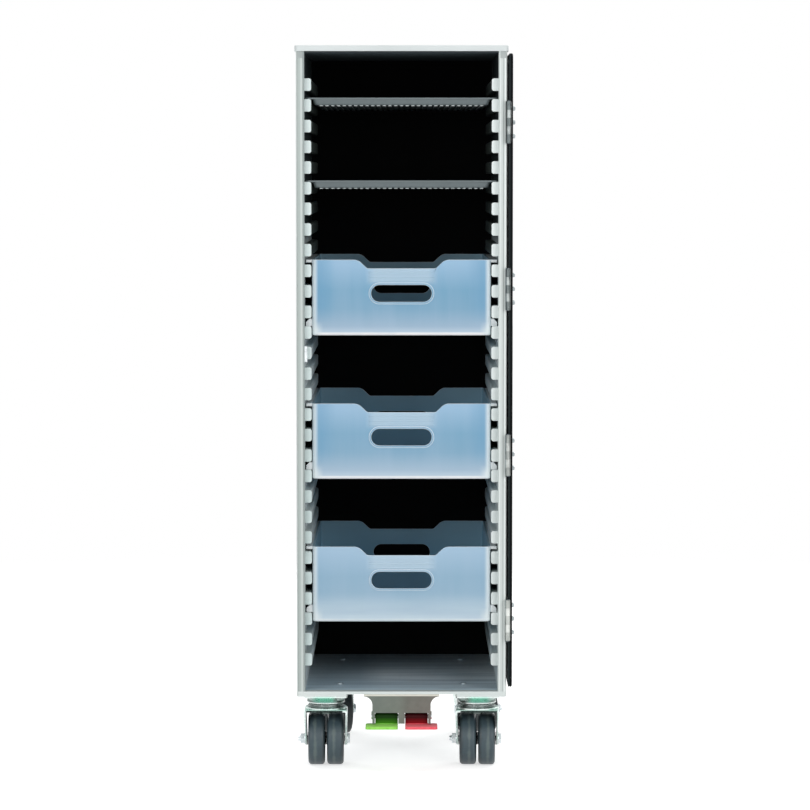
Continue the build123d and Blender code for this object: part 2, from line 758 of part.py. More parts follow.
def drawer_half_width():
    """Half the width of a drawer's tub."""
    return RUNNER_INNER_X - DRAWER_SIDE_GAP


def tub(half, y_span, z_span, corner, floor):
    """A block with rounded upright corners and a rounded bottom edge."""
    shape = along_z(rounded((-half, half), y_span, corner), *z_span)
    return fillet(shape.faces().sort_by(Axis.Z)[0].edges(), floor)


def drawer():
    """One moulded drawer, with its underside at height zero."""
    top = drawer_height()
    half = drawer_half_width()
    shape = tub(half, (LOAD_FRONT, LOAD_BACK), (0, top), DRAWER_CORNER_R, DRAWER_FLOOR_R)
    shape += drawer_wings(top, half)
    for y, outward in ((LOAD_FRONT, -1), (LOAD_BACK, 1)):
        shape += drawer_grip_detail(top, y, outward)
    shape -= tub(
        half - DRAWER_WALL,
        (LOAD_FRONT + DRAWER_WALL, LOAD_BACK - DRAWER_WALL),
        (DRAWER_WALL, top + OVERRUN),
        DRAWER_CORNER_R - DRAWER_WALL,
        DRAWER_FLOOR_R - DRAWER_WALL,
    )
    return shape - along_y(drawer_cuts(top), LOAD_FRONT - OVERRUN, LOAD_BACK + OVERRUN)


def drawer_wings(top, half):
    """The flanges at the drawer's top, and the feet that fill the slot between two runners."""
    reach = INNER_X - FLANGE_SIDE_GAP
    inner = half - DRAWER_WALL / 2
    y_span = (LOAD_FRONT + DRAWER_CORNER_R, LOAD_BACK - DRAWER_CORNER_R)
    right = block((inner, reach), y_span, (top - DRAWER_FLANGE, top))
    foot_top = DRAWER_FOOT_RISE + RUNNER_SLOT - DRAWER_FOOT_GAP
    foot = outline(
        (inner, DRAWER_FOOT_RISE),
        (reach, DRAWER_FOOT_RISE),
        (reach, foot_top - DRAWER_FOOT_CHAMFER),
        (reach - DRAWER_FOOT_CHAMFER, foot_top),
        (inner, foot_top),
    )
    right += along_y(foot, *y_span)
    return right + mirrored(right)


def drawer_grip_detail(top, y, outward):
    """The raised rim round the hand slot, and the band of ribs above it."""
    slot_z = top - GRIP_DROP - GRIP_HEIGHT / 2
    rim = Pos(0, slot_z) * SlotOverall(GRIP_WIDTH + 2 * GRIP_RIM, GRIP_HEIGHT + 2 * GRIP_RIM)
    detail = along_y(rim, *sorted((y, y + outward * GRIP_RIM_PROUD)))
    for i in range(BAND_RIB_COUNT):
        z = top - BAND_DROP - i * BAND_PITCH
        rib = rectangle((-BAND_WIDTH / 2, BAND_WIDTH / 2), (z - BAND_RIB / 2, z + BAND_RIB / 2))
        detail += along_y(rib, *sorted((y, y + outward * BAND_PROUD)))
    return detail


def drawer_cuts(top):
    """The notch in the top of the end walls, and the hand slot under it."""
    over = (NOTCH_TOP_WIDTH - NOTCH_BOTTOM_WIDTH) / NOTCH_DEPTH * OVERRUN
    notch = outline(
        (-(NOTCH_TOP_WIDTH + over) / 2, top + OVERRUN),
        (-NOTCH_BOTTOM_WIDTH / 2, top - NOTCH_DEPTH),
        (NOTCH_BOTTOM_WIDTH / 2, top - NOTCH_DEPTH),
        ((NOTCH_TOP_WIDTH + over) / 2, top + OVERRUN),
    )
    notch = fillet(notch.vertices().group_by(Axis.Y)[0], NOTCH_R)
    slot_z = top - GRIP_DROP - GRIP_HEIGHT / 2
    return notch + Pos(0, slot_z) * SlotOverall(GRIP_WIDTH, GRIP_HEIGHT)


def basin(gap, slope, z_top, depth):
    """The tapered space inside a tray, narrower at its bottom."""
    half = RUNNER_INNER_X - TRAY_BASIN_GAP - gap
    y0 = LOAD_FRONT + TRAY_END_LIP + gap
    y1 = LOAD_BACK - TRAY_END_LIP - gap
    upper = Plane.XY.offset(z_top) * rounded((-half, half), (y0, y1), TRAY_CORNER_R)
    lower = Plane.XY.offset(z_top - depth) * rounded(
        (slope - half, half - slope), (y0 + slope, y1 - slope), TRAY_CORNER_R
    )
    return loft([upper, lower])


def tray():
    """One shelf tray: a flat flange round a shallow basin with ribs under it, its flange's underside at zero."""
    half = INNER_X - TRAY_SIDE_GAP
    flange = rounded((-half, half), (LOAD_FRONT, LOAD_BACK), TRAY_CORNER_R)
    depth = TRAY_FLANGE + TRAY_BASIN_DEPTH
    outer = basin(0, TRAY_BASIN_SLOPE, TRAY_FLANGE, depth)
    outer = fillet(outer.faces().sort_by(Axis.Z)[0].edges(), TRAY_BASIN_R)
    inner = basin(TRAY_WALL, TRAY_BASIN_SLOPE, TRAY_FLANGE, depth - TRAY_WALL)
    inner = fillet(inner.faces().sort_by(Axis.Z)[0].edges(), TRAY_BASIN_R - TRAY_WALL / 2)
    edge = TRAY_BASIN_SLOPE + TRAY_BASIN_R
    rib_reach = RUNNER_INNER_X - TRAY_BASIN_GAP - edge - TRAY_RIB_WIDTH / 2
    count = int(rib_reach / TRAY_RIB_PITCH)
    ribs = [
        block(
            (i * TRAY_RIB_PITCH - TRAY_RIB_WIDTH / 2, i * TRAY_RIB_PITCH + TRAY_RIB_WIDTH / 2),
            (LOAD_FRONT + TRAY_END_LIP + edge, LOAD_BACK - TRAY_END_LIP - edge),
            (-TRAY_BASIN_DEPTH - TRAY_RIB_HEIGHT, TRAY_WALL / 2 - TRAY_BASIN_DEPTH),
        )
        for i in range(-count, count + 1)
    ]
    return along_z(flange, 0, TRAY_FLANGE) + outer - inner + ribs


def brake_housing():
    """The pedal housing: a flared block under the base, with three cheeks that hold the pivot pin."""
    half = HOUSING_WIDTH / 2
    wide = HOUSING_FLANGE_WIDTH / 2
    face = rectangle((-wide, wide), (PAD_BOTTOM - FLARE_R, BASE_BOTTOM))
    for side in (-1, 1):
        face -= Pos(side * (half + FLARE_R), PAD_BOTTOM - FLARE_R) * Circle(FLARE_R)
    face += rectangle((-half, half), (CHEEK_TOP, PAD_BOTTOM))
    shape = along_y(face, HOUSING_FRONT, HOUSING_FRONT + HOUSING_DEPTH)
    cheek = rectangle(
        (HOUSING_FRONT, HOUSING_FRONT + CHEEK_DEPTH), (CHEEK_BOTTOM, CHEEK_TOP + CHEEK_THICKNESS)
    )
    cheek = fillet(cheek.vertices().group_by(Axis.Y)[0].sort_by(Axis.X)[-1], CHEEK_R)
    shape += along_x(cheek, -TONGUE_WIDTH / 2, TONGUE_WIDTH / 2)
    right = along_x(cheek, half - CHEEK_THICKNESS, half)
    nub = Pos(HOUSING_FRONT + NUB_R, CHEEK_TOP) * Circle(NUB_R)
    right += along_x(nub, half - CHEEK_THICKNESS, half + NUB_PROUD)
    shape += right + mirrored(right)
    pin = Pos(PIVOT_Y, PIVOT_Z) * Circle(PIVOT_PIN_R + RUNNING_GAP)
    shape -= along_x(pin, -wide, wide)
    rear = HOUSING_FRONT + HOUSING_DEPTH
    rod = Pos(0, ROD_Z) * Circle(ROD_R + RUNNING_GAP)
    return shape - along_y(rod, rear - ROD_BORE, rear + OVERRUN)


def pedal_pivot_pin():
    """The pin through the three cheeks, headed at both ends."""
    half = HOUSING_WIDTH / 2
    pin = along_x(Circle(PIVOT_PIN_R), -half, half)
    head = along_x(Circle(PIVOT_PIN_HEAD_R), half, half + PIVOT_PIN_HEAD)
    return Pos(0, PIVOT_Y, PIVOT_Z) * (pin + head + mirrored(head))


def brake_pedal():
    """The right-hand pedal: a hub on the pin, an arm between the cheeks and a wide tread."""
    inner = TONGUE_WIDTH / 2 + PEDAL_GAP
    outer = HOUSING_WIDTH / 2 - CHEEK_THICKNESS - PEDAL_GAP
    tread_top = CHEEK_BOTTOM - TREAD_DROP
    tread_front = HOUSING_FRONT - TREAD_FORWARD
    tread_back = tread_front + TREAD_DEPTH
    hub = Pos(PIVOT_Y, PIVOT_Z) * Circle(PEDAL_HUB_R)
    root = rectangle((tread_back - PEDAL_WEB, tread_back), (tread_top - TREAD_HEIGHT, tread_top))
    arm = make_hull(hub.edges() + root.edges())
    shape = along_x(arm, inner, outer)
    tread = rounded((inner, inner + TREAD_WIDTH), (tread_front, tread_back), TREAD_R)
    plate = along_z(tread, tread_top - TREAD_HEIGHT, tread_top)
    plate = fillet(plate.faces().sort_by(Axis.Z)[-1].edges(), TREAD_EDGE)
    shape += plate
    bore = Pos(PIVOT_Y, PIVOT_Z) * Circle(PIVOT_PIN_R + RUNNING_GAP)
    return shape - along_x(bore, inner - OVERRUN, outer + OVERRUN)


def brake_rod():
    """The push rod from the pedals back to a cross bar between the rear casters."""
    start = HOUSING_FRONT + HOUSING_DEPTH - ROD_BORE + ROD_TRAVEL
    end = SWIVEL_Y
    rod = Pos(0, ROD_Z) * Circle(ROD_R)
    reach = SWIVEL_X - UPPER_RACE_R - CROSS_BAR_END_GAP
    bar = rounded(
        (-reach, reach),
        (ROD_Z - CROSS_BAR_HEIGHT / 2, ROD_Z + CROSS_BAR_HEIGHT / 2),
        CROSS_BAR_HEIGHT / 4,
    )
    middle = SWIVEL_Y - CROSS_BAR_DEPTH / 2
    return along_y(rod, start, end) + along_y(bar, middle, middle + CROSS_BAR_DEPTH)


def brake_rod_guides():
    """Two blocks under the floor that the rod slides through."""
    face = rounded(
        (-GUIDE_WIDTH / 2, GUIDE_WIDTH / 2),
        (ROD_Z - ROD_R - GUIDE_BELOW, FLOOR_Z - FLOOR_THICKNESS),
        GUIDE_BELOW / 2,
    )
    face -= Pos(0, ROD_Z) * Circle(ROD_R + RUNNING_GAP)
    return group([along_y(face, y, y + GUIDE_DEPTH) for y in (0, GUIDE_SPREAD)])


def caster_mount():
    """The fixed half of a swivel: plate, two races with a waist between them, and king pin, about Z."""
    low = CROWN_UNDERSIDE - SEAT_GAP
    shape = turned(
        [
            (0, low - KING_NUT),
            (KING_NUT_R, low - KING_NUT),
            (KING_NUT_R, low),
            (KING_PIN_R, low),
            (KING_PIN_R, LOWER_RACE_BOTTOM),
            (LOWER_RACE_R, LOWER_RACE_BOTTOM),
            (LOWER_RACE_R, LOWER_RACE_TOP),
            (WAIST_R, LOWER_RACE_TOP),
            (WAIST_R, WAIST_TOP),
            (UPPER_RACE_R, UPPER_RACE_BOTTOM),
            (UPPER_RACE_R, UPPER_RACE_TOP),
            (NECK_R, NECK_TOP),
            (0, NECK_TOP),
        ]
    )
    plate = RectangleRounded(MOUNT_PLATE, MOUNT_PLATE, PAD_CORNER_R)
    return shape + along_z(plate, NECK_TOP, PAD_BOTTOM)


def corner_signs(name):
    """Which side of the middle a caster stands on, in X and in Y."""
    return (-1 if "left" in name else 1), (-1 if "front" in name else 1)


def swivel_place(name):
    """Where a caster's swivel axis stands, in X and Y."""
    i, j = corner_signs(name)
    return i * SWIVEL_X, j * SWIVEL_Y


def caster_mounts():
    """The four fixed halves under their pads."""
    shape = caster_mount()
    return group([Pos(*swivel_place(name)) * shape for name in CASTER_ANGLES])


def fork():
    """A pressed fork. It swivels about the Z axis, and its wheels trail towards +Y."""
    top = FORK_TOP_WIDTH / 2
    foot = FORK_FOOT_WIDTH / 2
    low = WHEEL_R - FORK_EAR_R
    shell = outline((-top, CROWN_TOP), (top, CROWN_TOP), (foot, low), (-foot, low))
    shell = fillet(shell.vertices().group_by(Axis.Y)[-1], FORK_BEND_R)
    inner_top = top - FORK_THICKNESS
    inner_foot = foot - FORK_THICKNESS
    slope = (inner_top - inner_foot) / (CROWN_UNDERSIDE - low)
    hollow = outline(
        (-inner_top, CROWN_UNDERSIDE),
        (inner_top, CROWN_UNDERSIDE),
        (inner_foot - slope * OVERRUN, low - OVERRUN),
        (slope * OVERRUN - inner_foot, low - OVERRUN),
    )
    hollow = fillet(hollow.vertices().group_by(Axis.Y)[-1], FORK_BEND_R - FORK_THICKNESS)
    half = FORK_CROWN_DEPTH / 2
    bent = along_y(shell - hollow, -half, CASTER_TRAIL + FORK_EAR_R)
    ear = Pos(CASTER_TRAIL, WHEEL_R) * Circle(FORK_EAR_R)
    crown = rectangle((-half, half), (CROWN_UNDERSIDE - FORK_BEND_R, CROWN_TOP))
    side = make_hull(ear.edges() + crown.edges())
    bent = bent & along_x(side, -FORK_TOP_WIDTH, FORK_TOP_WIDTH)
    bent += along_z(Circle(DISH_R), CROWN_TOP, DISH_TOP)
    bent -= along_z(Circle(KING_PIN_R + RUNNING_GAP), CROWN_UNDERSIDE - OVERRUN, DISH_TOP + OVERRUN)
    axle = Pos(CASTER_TRAIL, WHEEL_R) * Circle(AXLE_R + RUNNING_GAP)
    return bent - along_x(axle, -FORK_TOP_WIDTH, FORK_TOP_WIDTH)


def fork_half_width(z):
    """Half the outer width of the fork's legs at a height."""
    share = (CROWN_TOP - z) / (CROWN_TOP - WHEEL_R + FORK_EAR_R)
    return (FORK_TOP_WIDTH + (FORK_FOOT_WIDTH - FORK_TOP_WIDTH) * share) / 2


def axle_bolt(nut_side):
    """The axle bolt, headed at one end, and the round-topped nut at its other end."""
    face = fork_half_width(WHEEL_R - AXLE_HEAD_ACROSS / 2)
    seat = fork_half_width(WHEEL_R + AXLE_HEAD_ACROSS / 2)
    bolt = along_x(Circle(AXLE_R), -face - AXLE_NUT - AXLE_TIP / 2, seat)
    bolt += along_x(RegularPolygon(AXLE_HEAD_ACROSS / 2, 6, major_radius=False), seat, seat + AXLE_HEAD)
    nut = along_x(RegularPolygon(AXLE_HEAD_ACROSS / 2, 6, major_radius=False), -seat - AXLE_NUT, -seat)
    nut -= along_x(Circle(AXLE_R + RUNNING_GAP), -seat - AXLE_NUT - OVERRUN, -seat + OVERRUN)
    tip = along_x(Circle(AXLE_TIP_R), -face - AXLE_NUT - AXLE_TIP, -face - AXLE_NUT)
    both = group([bolt + tip, nut])
    both = Pos(0, CASTER_TRAIL, WHEEL_R) * both
    return both if nut_side < 0 else mirrored(both)


def wheel_profile(points):
    """A solid of revolution about the wheel's own X axis from points of X and radius."""
    return revolve(Plane.XY * outline(*points), Axis.X)


def hub():
    """A wheel centre that spins on the axle, its middle at X zero, with its inner side towards -X."""
    half = TYRE_WIDTH / 2
    rim_out = WHEEL_R - TYRE_THICKNESS
    rim_in = rim_out - HUB_RIM
    web = HUB_WEB / 2
    inner = half + WHEEL_GAP / 2 - SEAT_GAP / 2
    outer = half + HUB_BOSS_PROUD
    shell = wheel_profile(
        [
            (-inner, AXLE_R + RUNNING_GAP),
            (outer, AXLE_R + RUNNING_GAP),
            (outer, HUB_BOSS_R),
            (web, HUB_BOSS_R + web),
            (web, rim_in - web),
            (half - TYRE_SEAT_LIP, rim_in),
            (half - TYRE_SEAT_LIP, rim_out),
            (TYRE_SEAT_LIP - half, rim_out),
            (TYRE_SEAT_LIP - half, rim_in),
            (-web, rim_in - web),
            (-web, HUB_BOSS_R + web),
            (-inner, HUB_BOSS_R),
        ]
    )
    return shell


def tyre():
    """A solid tyre with rounded shoulders, moulded round the hub's rim."""
    half = TYRE_WIDTH / 2
    seat = WHEEL_R - TYRE_THICKNESS
    face = rectangle((-half, half), (seat, WHEEL_R))
    face = fillet(face.vertices().group_by(Axis.Y)[-1], TYRE_SHOULDER)
    lip = rectangle((TYRE_SEAT_LIP - half, half - TYRE_SEAT_LIP), (seat - HUB_RIM, seat))
    return revolve(Plane.XY * (face - lip), Axis.X)


def placed_caster(name, shape):
    """A caster piece at its corner, turned as that caster stands."""
    heading = CASTER_ANGLES[name]
    if corner_signs(name)[1] > 0:
        heading += 180
    return Pos(*swivel_place(name)) * Rot(0, 0, heading) * shape


def caster_nodes():
    """The turning pieces of all four casters."""
    nodes = {}
    offset = (TYRE_WIDTH + WHEEL_GAP) / 2
    for name, nut_side in NUT_SIDES.items():
        nodes[f"fork_{name}"] = placed_caster(name, fork())
        nodes[f"axle_{name}"] = placed_caster(name, axle_bolt(nut_side))
        for side, which in ((-1, "a"), (1, "b")):
            seat = Pos(side * offset, CASTER_TRAIL, WHEEL_R)
            for kind, shape in (("hub", hub()), ("tyre", tyre())):
                facing = shape if side > 0 else mirrored(shape)
                nodes[f"{kind}_{name}_{which}"] = placed_caster(name, seat * facing)
    return nodes


def cabinet_nodes():
    """Every piece that is fixed to the body."""
    right_runners = runners()
    return {
        "top_cap": top_cap(),
        "ceiling_panel": ceiling_panel(),
        "left_side_panel": mirrored(side_panel()),
        "right_side_panel": side_panel(),
        "back_panel": back_panel(),
        "floor_panel": floor_panel(),
        "base_frame": base_frame(),
        "corner_posts": corner_posts(),
        "corner_blocks": corner_blocks(),
        "left_runners": group([mirrored(solid) for solid in right_runners]),
        "right_runners": group(right_runners),
        "caster_pads": caster_pads(),
        "caster_mounts": caster_mounts(),
        "latch_striker": latch_striker(),
        "hinge_post_leaves": hinge_post_leaves(),
        "hinge_pins": hinge_pins(),
        "floor_rivets": floor_rivets(),
        "brake_housing": brake_housing(),
        "pedal_pivot_pin": pedal_pivot_pin(),
        "brake_rod_guides": brake_rod_guides(),
    }


def door_nodes():
    """Every piece that swings with the door, folded back against the right side."""
    shut = {
        "door_panel": door_panel(),
        "door_edge_trim": door_edge_trim(),
        "hinge_door_leaves": hinge_door_leaves(),
        "door_rivets": door_rivets(),
        "latch_housing": latch_housing(),
        "latch_paddle": latch_paddle(),
        "latch_bolt": latch_bolt(),
    }
    return {name: folded_back(shape) for name, shape in shut.items()}


def load_nodes():
    """The drawers and trays that fit between the floor and the ceiling."""
    nodes = {}
    top_level = RUNNER_COUNT - 1
    for number, drop in enumerate(TRAY_LEVELS, start=1):
        if top_level - drop >= 0:
            nodes[f"tray_{number}"] = Pos(0, 0, runner_top(top_level - drop)) * tray()
    for number in range(DRAWER_COUNT):
        level = top_level - DRAWER_DROP_COUNT - number * DRAWER_STEP_COUNT
        if level >= 0:
            foot = runner_top(level) - DRAWER_FOOT_RISE
            nodes[f"drawer_{number + 1}"] = Pos(0, 0, foot) * drawer()
    return nodes


def brake_nodes():
    """The two pedals and the rod."""
    red = brake_pedal()
    return {"green_pedal": mirrored(red), "red_pedal": red, "brake_rod": brake_rod()}


def main():
    """Builds every node and writes one STEP file for each."""
    os.makedirs("parts", exist_ok=True)
    nodes = {**cabinet_nodes(), **door_nodes(), **load_nodes(), **brake_nodes(), **caster_nodes()}
    for name, shape in nodes.items():
        solids = shape.solids()
        whole = solids[0] if len(solids) == 1 else Compound(children=list(solids))
        export_step(whole, f"parts/{name}.step")
    print(len(nodes), "nodes,", RUNNER_COUNT, "runners a side")


main()
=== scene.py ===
"""The looks of the galley trolley: finishes, eased edges, small fittings, floor, lamps and camera."""
import json
import math

import bpy
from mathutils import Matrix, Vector


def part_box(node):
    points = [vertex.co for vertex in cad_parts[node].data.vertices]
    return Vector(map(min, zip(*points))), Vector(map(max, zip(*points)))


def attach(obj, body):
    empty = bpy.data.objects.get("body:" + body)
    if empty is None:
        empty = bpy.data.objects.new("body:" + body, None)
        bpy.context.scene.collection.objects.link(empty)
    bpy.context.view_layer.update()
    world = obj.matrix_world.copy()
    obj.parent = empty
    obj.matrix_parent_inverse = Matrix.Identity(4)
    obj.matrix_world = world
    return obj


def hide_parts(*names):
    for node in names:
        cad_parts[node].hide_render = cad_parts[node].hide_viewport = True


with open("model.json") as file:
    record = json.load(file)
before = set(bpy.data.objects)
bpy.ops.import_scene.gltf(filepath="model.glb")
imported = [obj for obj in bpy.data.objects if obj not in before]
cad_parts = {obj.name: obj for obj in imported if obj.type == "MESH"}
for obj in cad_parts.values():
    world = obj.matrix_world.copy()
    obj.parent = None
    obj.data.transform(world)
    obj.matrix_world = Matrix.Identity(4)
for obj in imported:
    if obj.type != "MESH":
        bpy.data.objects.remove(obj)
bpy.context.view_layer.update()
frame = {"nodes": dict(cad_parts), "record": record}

NODES = frame["nodes"]
MM = 0.001

# Where the photograph was taken from, against the front plane of the cabinet
FRONT_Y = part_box("corner_posts")[0].y
EYE_DISTANCE = 4850 * MM
EYE_HEIGHT = 845 * MM
EYE_SIDE = 5 * MM
AIM_HEIGHT = 523 * MM
LENS = 152.6
SENSOR = 36.0

# How much light reaches a piece from all round, and the white that stands behind it
AMBIENT = 0.34
BACKDROP_WHITE = 1.0
BACKDROP_SHINE = 0.85

# Softboxes: name, bearing round the trolley, height of the middle, distance, side, watts
SOFTBOXES = (
    ("left_softbox", -24, 1250 * MM, 3400 * MM, 1500 * MM, 30),
    ("right_softbox", 30, 1250 * MM, 3400 * MM, 1500 * MM, 36),
    ("rear_left_softbox", -140, 1700 * MM, 3200 * MM, 1400 * MM, 34),
    ("rear_right_softbox", 140, 1700 * MM, 3200 * MM, 1400 * MM, 34),
)
TOP_BOX_HEIGHT = 3000 * MM
TOP_BOX_SIDE = 1800 * MM
TOP_BOX_WATTS = 20

# The height over the middle of the floor that every softbox faces
LAMPS_AIM_HEIGHT = 507 * MM

# The studio's round floor, the width of its fading edge, and the glow that keeps it white to the eye
STUDIO_RADIUS = 2600 * MM
STUDIO_FADE = 900 * MM
STUDIO_SIDES = 96
STUDIO_GLOW = 0.62

# The visible width of a post's face
POST_FACE = 12 * MM

# How far back the painted light and shade of the ceiling and the floor run, and where the floor's painted
# reflection begins and where it is full
CEILING_RUN = 380 * MM
FLOOR_RUN = 370 * MM
PAINTED_REFLECTION_FROM_X = -62 * MM
PAINTED_REFLECTION_FULL_X = -25 * MM

# Heights above the floor panel: where the painted light on the runners' noses begins, where it is
# strongest, and where the painted light and shade on their sides end
NOSES_PALER = 300 * MM
NOSES_PALEST = 700 * MM
SIDES_END = 800 * MM

# Heights at which the hinges' painted shade is darkest and their painted light lightest
HINGES_DARKEST = 700 * MM
HINGES_LIGHTEST = 230 * MM

# Drawers: the gap beside a runner, half the width of the notch at its top, the rounding of its upper
# corners and how near that place they are looked for, and the band of ribs below the notch
RUNNER_GAP = 0.8 * MM
NOTCH_TOP_X = 61.5 * MM
NOTCH_ROUNDING = 5.5 * MM
NOTCH_SEGMENTS = 6
NOTCH_WITHIN = 1.5 * MM
BAND_X = 49 * MM
BAND_HIGH = 13.6 * MM
BAND_LOW = 32 * MM

# How high a pedal's tread reaches above its lowest edge
TREAD_TOP = 4.3 * MM

# Casters: how far the swivels stand from the middle of the trolley, a tyre's middle from its swivel, the
# half width of a tyre, and how far the edge of the painted highlight along its tread wanders
SWIVEL_X = 110.5 * MM
TYRE_MIDDLE = 13.5 * MM
TYRE_HALF = 12 * MM
HIGHLIGHT_WANDER = 4 * MM

# A fork's crown: the heights that its streaks run between, and the painted shade on its inner bend, by
# height and by distance from the swivel
CROWN_LOW = 80 * MM
CROWN_HIGH = 90 * MM
BEND_DARK_Z = 83.9 * MM
BEND_END_Z = 84.5 * MM
BEND_DARK_X = 25.5 * MM
BEND_END_X = 27 * MM

# The rings of a caster mount: their height, how far their bands of painted highlight and painted shade
# cover the plating, and where the green about the swivel starts to fade and where it ends
RINGS_HEIGHT = 20 * MM
RINGS_STRENGTH = 0.85
GREEN_FADES_X = 11 * MM
GREEN_END_X = 19 * MM

# The end of each axle bolt that has the nut, by the direction of its wheels' axis
NUT_SIDES = {"front_left": -1, "front_right": -1, "rear_left": 1, "rear_right": -1}

# Axle fittings: where a fork's leg ends, the washer on it, and the thread past the nut
LEG_FACE = 30.0 * MM
WASHER_R = 8.8 * MM
WASHER_HOLE_R = 6.2 * MM
WASHER_THICKNESS = 1.0 * MM
WASHER_ROLL = 0.3 * MM
WASHER_SIDES = 36
THREAD_START = 36.6 * MM
THREAD_R = 3.35 * MM
THREAD_RIDGE_R = 0.5 * MM
THREAD_PITCH = 1.0 * MM
THREAD_TURNS = 3
THREAD_STEPS = 24

# Eased edges: their widths, their steps, the least angle of an arris, and that of a fitting's edge
DRAWER_EDGE = 1.15 * MM
TRAY_EDGE = 0.8 * MM
FORK_EDGE = 0.5 * MM
AXLE_EDGE = 0.4 * MM
EDGE_SEGMENTS = 2
ARRIS_ANGLE = math.radians(38)
FITTING_ANGLE = math.radians(40)

# The other eased pieces: node, width of the edges, body and slot
EASED_PIECES = (
    ("top_cap", 0.5 * MM, "cabinet", "light_plastic"),
    ("corner_blocks", 0.4 * MM, "cabinet", "grey_plastic"),
    ("caster_pads", 0.4 * MM, "cabinet", "light_aluminium"),
    ("brake_housing", 0.5 * MM, "cabinet", "housing_plastic"),
    ("latch_housing", 0.5 * MM, "door", "grey_plastic"),
    ("latch_paddle", 0.4 * MM, "latch_paddle", "light_plastic"),
    ("green_pedal", 0.4 * MM, "green_pedal", "green_plastic"),
    ("red_pedal", 0.4 * MM, "red_pedal", "red_plastic"),
    ("hinge_post_leaves", 0.6 * MM, "cabinet", "hinge_steel"),
    ("hinge_door_leaves", 0.6 * MM, "door", "hinge_steel"),
)

# How close two points of a mesh, or of the thread, are one, and how little two faces on one flat differ
SAME_POINT = 0.004 * MM
SAME_THREAD_POINT = 0.002 * MM
SAME_FLAT = math.radians(0.4)

# How exactly an edge of a drawer runs from front to back, and how exactly it lies at the top
LEVEL_WITHIN = 0.01 * MM
TOP_WITHIN = 0.05 * MM

# The mix node has one set of sockets for each kind of value. These are the factor and the two colours,
# and the colour that comes out
COLOUR_MIX_INPUTS = (0, 6, 7)
COLOUR_MIX_OUTPUT = 2

CASTERS = ("front_left", "front_right", "rear_left", "rear_right")
WHEELS = [f"{corner}_{side}" for corner in CASTERS for side in ("a", "b")]


def linear(hex_colour):
    """An sRGB hex colour as the linear colour that a socket takes."""
    channels = [int(hex_colour[i:i + 2], 16) / 255 for i in (1, 3, 5)]
    return [c / 12.92 if c <= 0.04045 else ((c + 0.055) / 1.055) ** 2.4 for c in channels] + [1.0]


def add(tree, kind, inputs=None, **settings):
    """Adds a node, sets its settings, and gives each input a value or links it to an output."""
    node = tree.nodes.new(kind)
    for name, value in settings.items():
        setattr(node, name, value)
    for name, value in (inputs or {}).items():
        if isinstance(value, bpy.types.NodeSocket):
            tree.links.new(value, node.inputs[name])
        else:
            node.inputs[name].default_value = value
    return node


def start_finish(name, roughness, metallic=0.0, ior=1.5, gloss=0.5):
    """A new material: its node tree, its shader, and the place on the piece in metres."""
    material = bpy.data.materials.new(name)
    material.use_nodes = True
    tree = material.node_tree
    shader = tree.nodes["Principled BSDF"]
    shader.inputs["Roughness"].default_value = roughness
    shader.inputs["Metallic"].default_value = metallic
    shader.inputs["IOR"].default_value = ior
    shader.inputs["Specular IOR Level"].default_value = gloss
    place = add(tree, "ShaderNodeTexCoord").outputs["Object"]
    return material, tree, shader, place


def shades(tree, factor, stops):
    """A run of colours along a factor, from stops of position and hex colour."""
    ramp = add(tree, "ShaderNodeValToRGB", {"Fac": factor})
    elements = ramp.color_ramp.elements
    while len(elements) < len(stops):
        elements.new(0.5)
    for element, (position, colour) in zip(elements, stops):
        element.position = position
        element.color = linear(colour)
    return ramp.outputs["Color"]


def patches(tree, place, size, stretch=(1, 1, 1), detail=3.0):
    """A soft random pattern whose patches are about one size, longer where stretch is under one."""
    mapped = add(tree, "ShaderNodeMapping", {"Vector": place, "Scale": stretch}).outputs["Vector"]
    return add(
        tree,
        "ShaderNodeTexNoise",
        {"Vector": mapped, "Scale": 1 / size, "Detail": detail, "Roughness": 0.55},
    ).outputs["Fac"]


def drifting(tree, place, size, dark, light):
    """Two close shades that drift into each other in large soft patches."""
    return shades(tree, patches(tree, place, size), ((0.35, dark), (0.65, light)))


def span(tree, value, low, high, to_low=0.0, to_high=1.0):
    """A value brought from one range to another, and held inside it."""
    return add(
        tree,
        "ShaderNodeMapRange",
        {"Value": value, "From Min": low, "From Max": high, "To Min": to_low, "To Max": to_high},
    ).outputs["Result"]


def sums(tree, way, first, second=0.0):
    """One sum on one or two values."""
    return add(tree, "ShaderNodeMath", {0: first, 1: second}, operation=way).outputs[0]


def product(tree, first, second):
    """Two values multiplied."""
    return sums(tree, "MULTIPLY", first, second)


def distance(tree, value, middle=0.0):
    """How far a value is from a middle one, to either side."""
    return sums(tree, "ABSOLUTE", sums(tree, "SUBTRACT", value, middle))


def parts(tree, vector):
    """The X, Y and Z of a place or a direction."""
    return add(tree, "ShaderNodeSeparateXYZ", {"Vector": vector}).outputs


def from_swivel(tree, place):
    """How far a place is to the side of its caster's swivel."""
    return distance(tree, distance(tree, parts(tree, place)["X"]), SWIVEL_X)


def facing(tree):
    """The direction that the surface faces, before any relief."""
    return parts(tree, add(tree, "ShaderNodeNewGeometry").outputs["True Normal"])


def blended(tree, factor, first, second):
    """Two colours mixed by a factor. Each is a socket or a hex colour."""
    mix = add(tree, "ShaderNodeMix", data_type="RGBA")
    for index, value in zip(COLOUR_MIX_INPUTS, (factor, first, second)):
        if isinstance(value, bpy.types.NodeSocket):
            tree.links.new(value, mix.inputs[index])
        else:
            mix.inputs[index].default_value = linear(value) if isinstance(value, str) else value
    return mix.outputs[COLOUR_MIX_OUTPUT]


def relief(tree, shader, height, depth, strength=1.0):
    """Raises the surface by a pattern, on top of what relief it has already."""
    inputs = {"Height": height, "Distance": depth, "Strength": strength}
    if shader.inputs["Normal"].links:
        inputs["Normal"] = shader.inputs["Normal"].links[0].from_socket
    bump = add(tree, "ShaderNodeBump", inputs)
    tree.links.new(bump.outputs["Normal"], shader.inputs["Normal"])


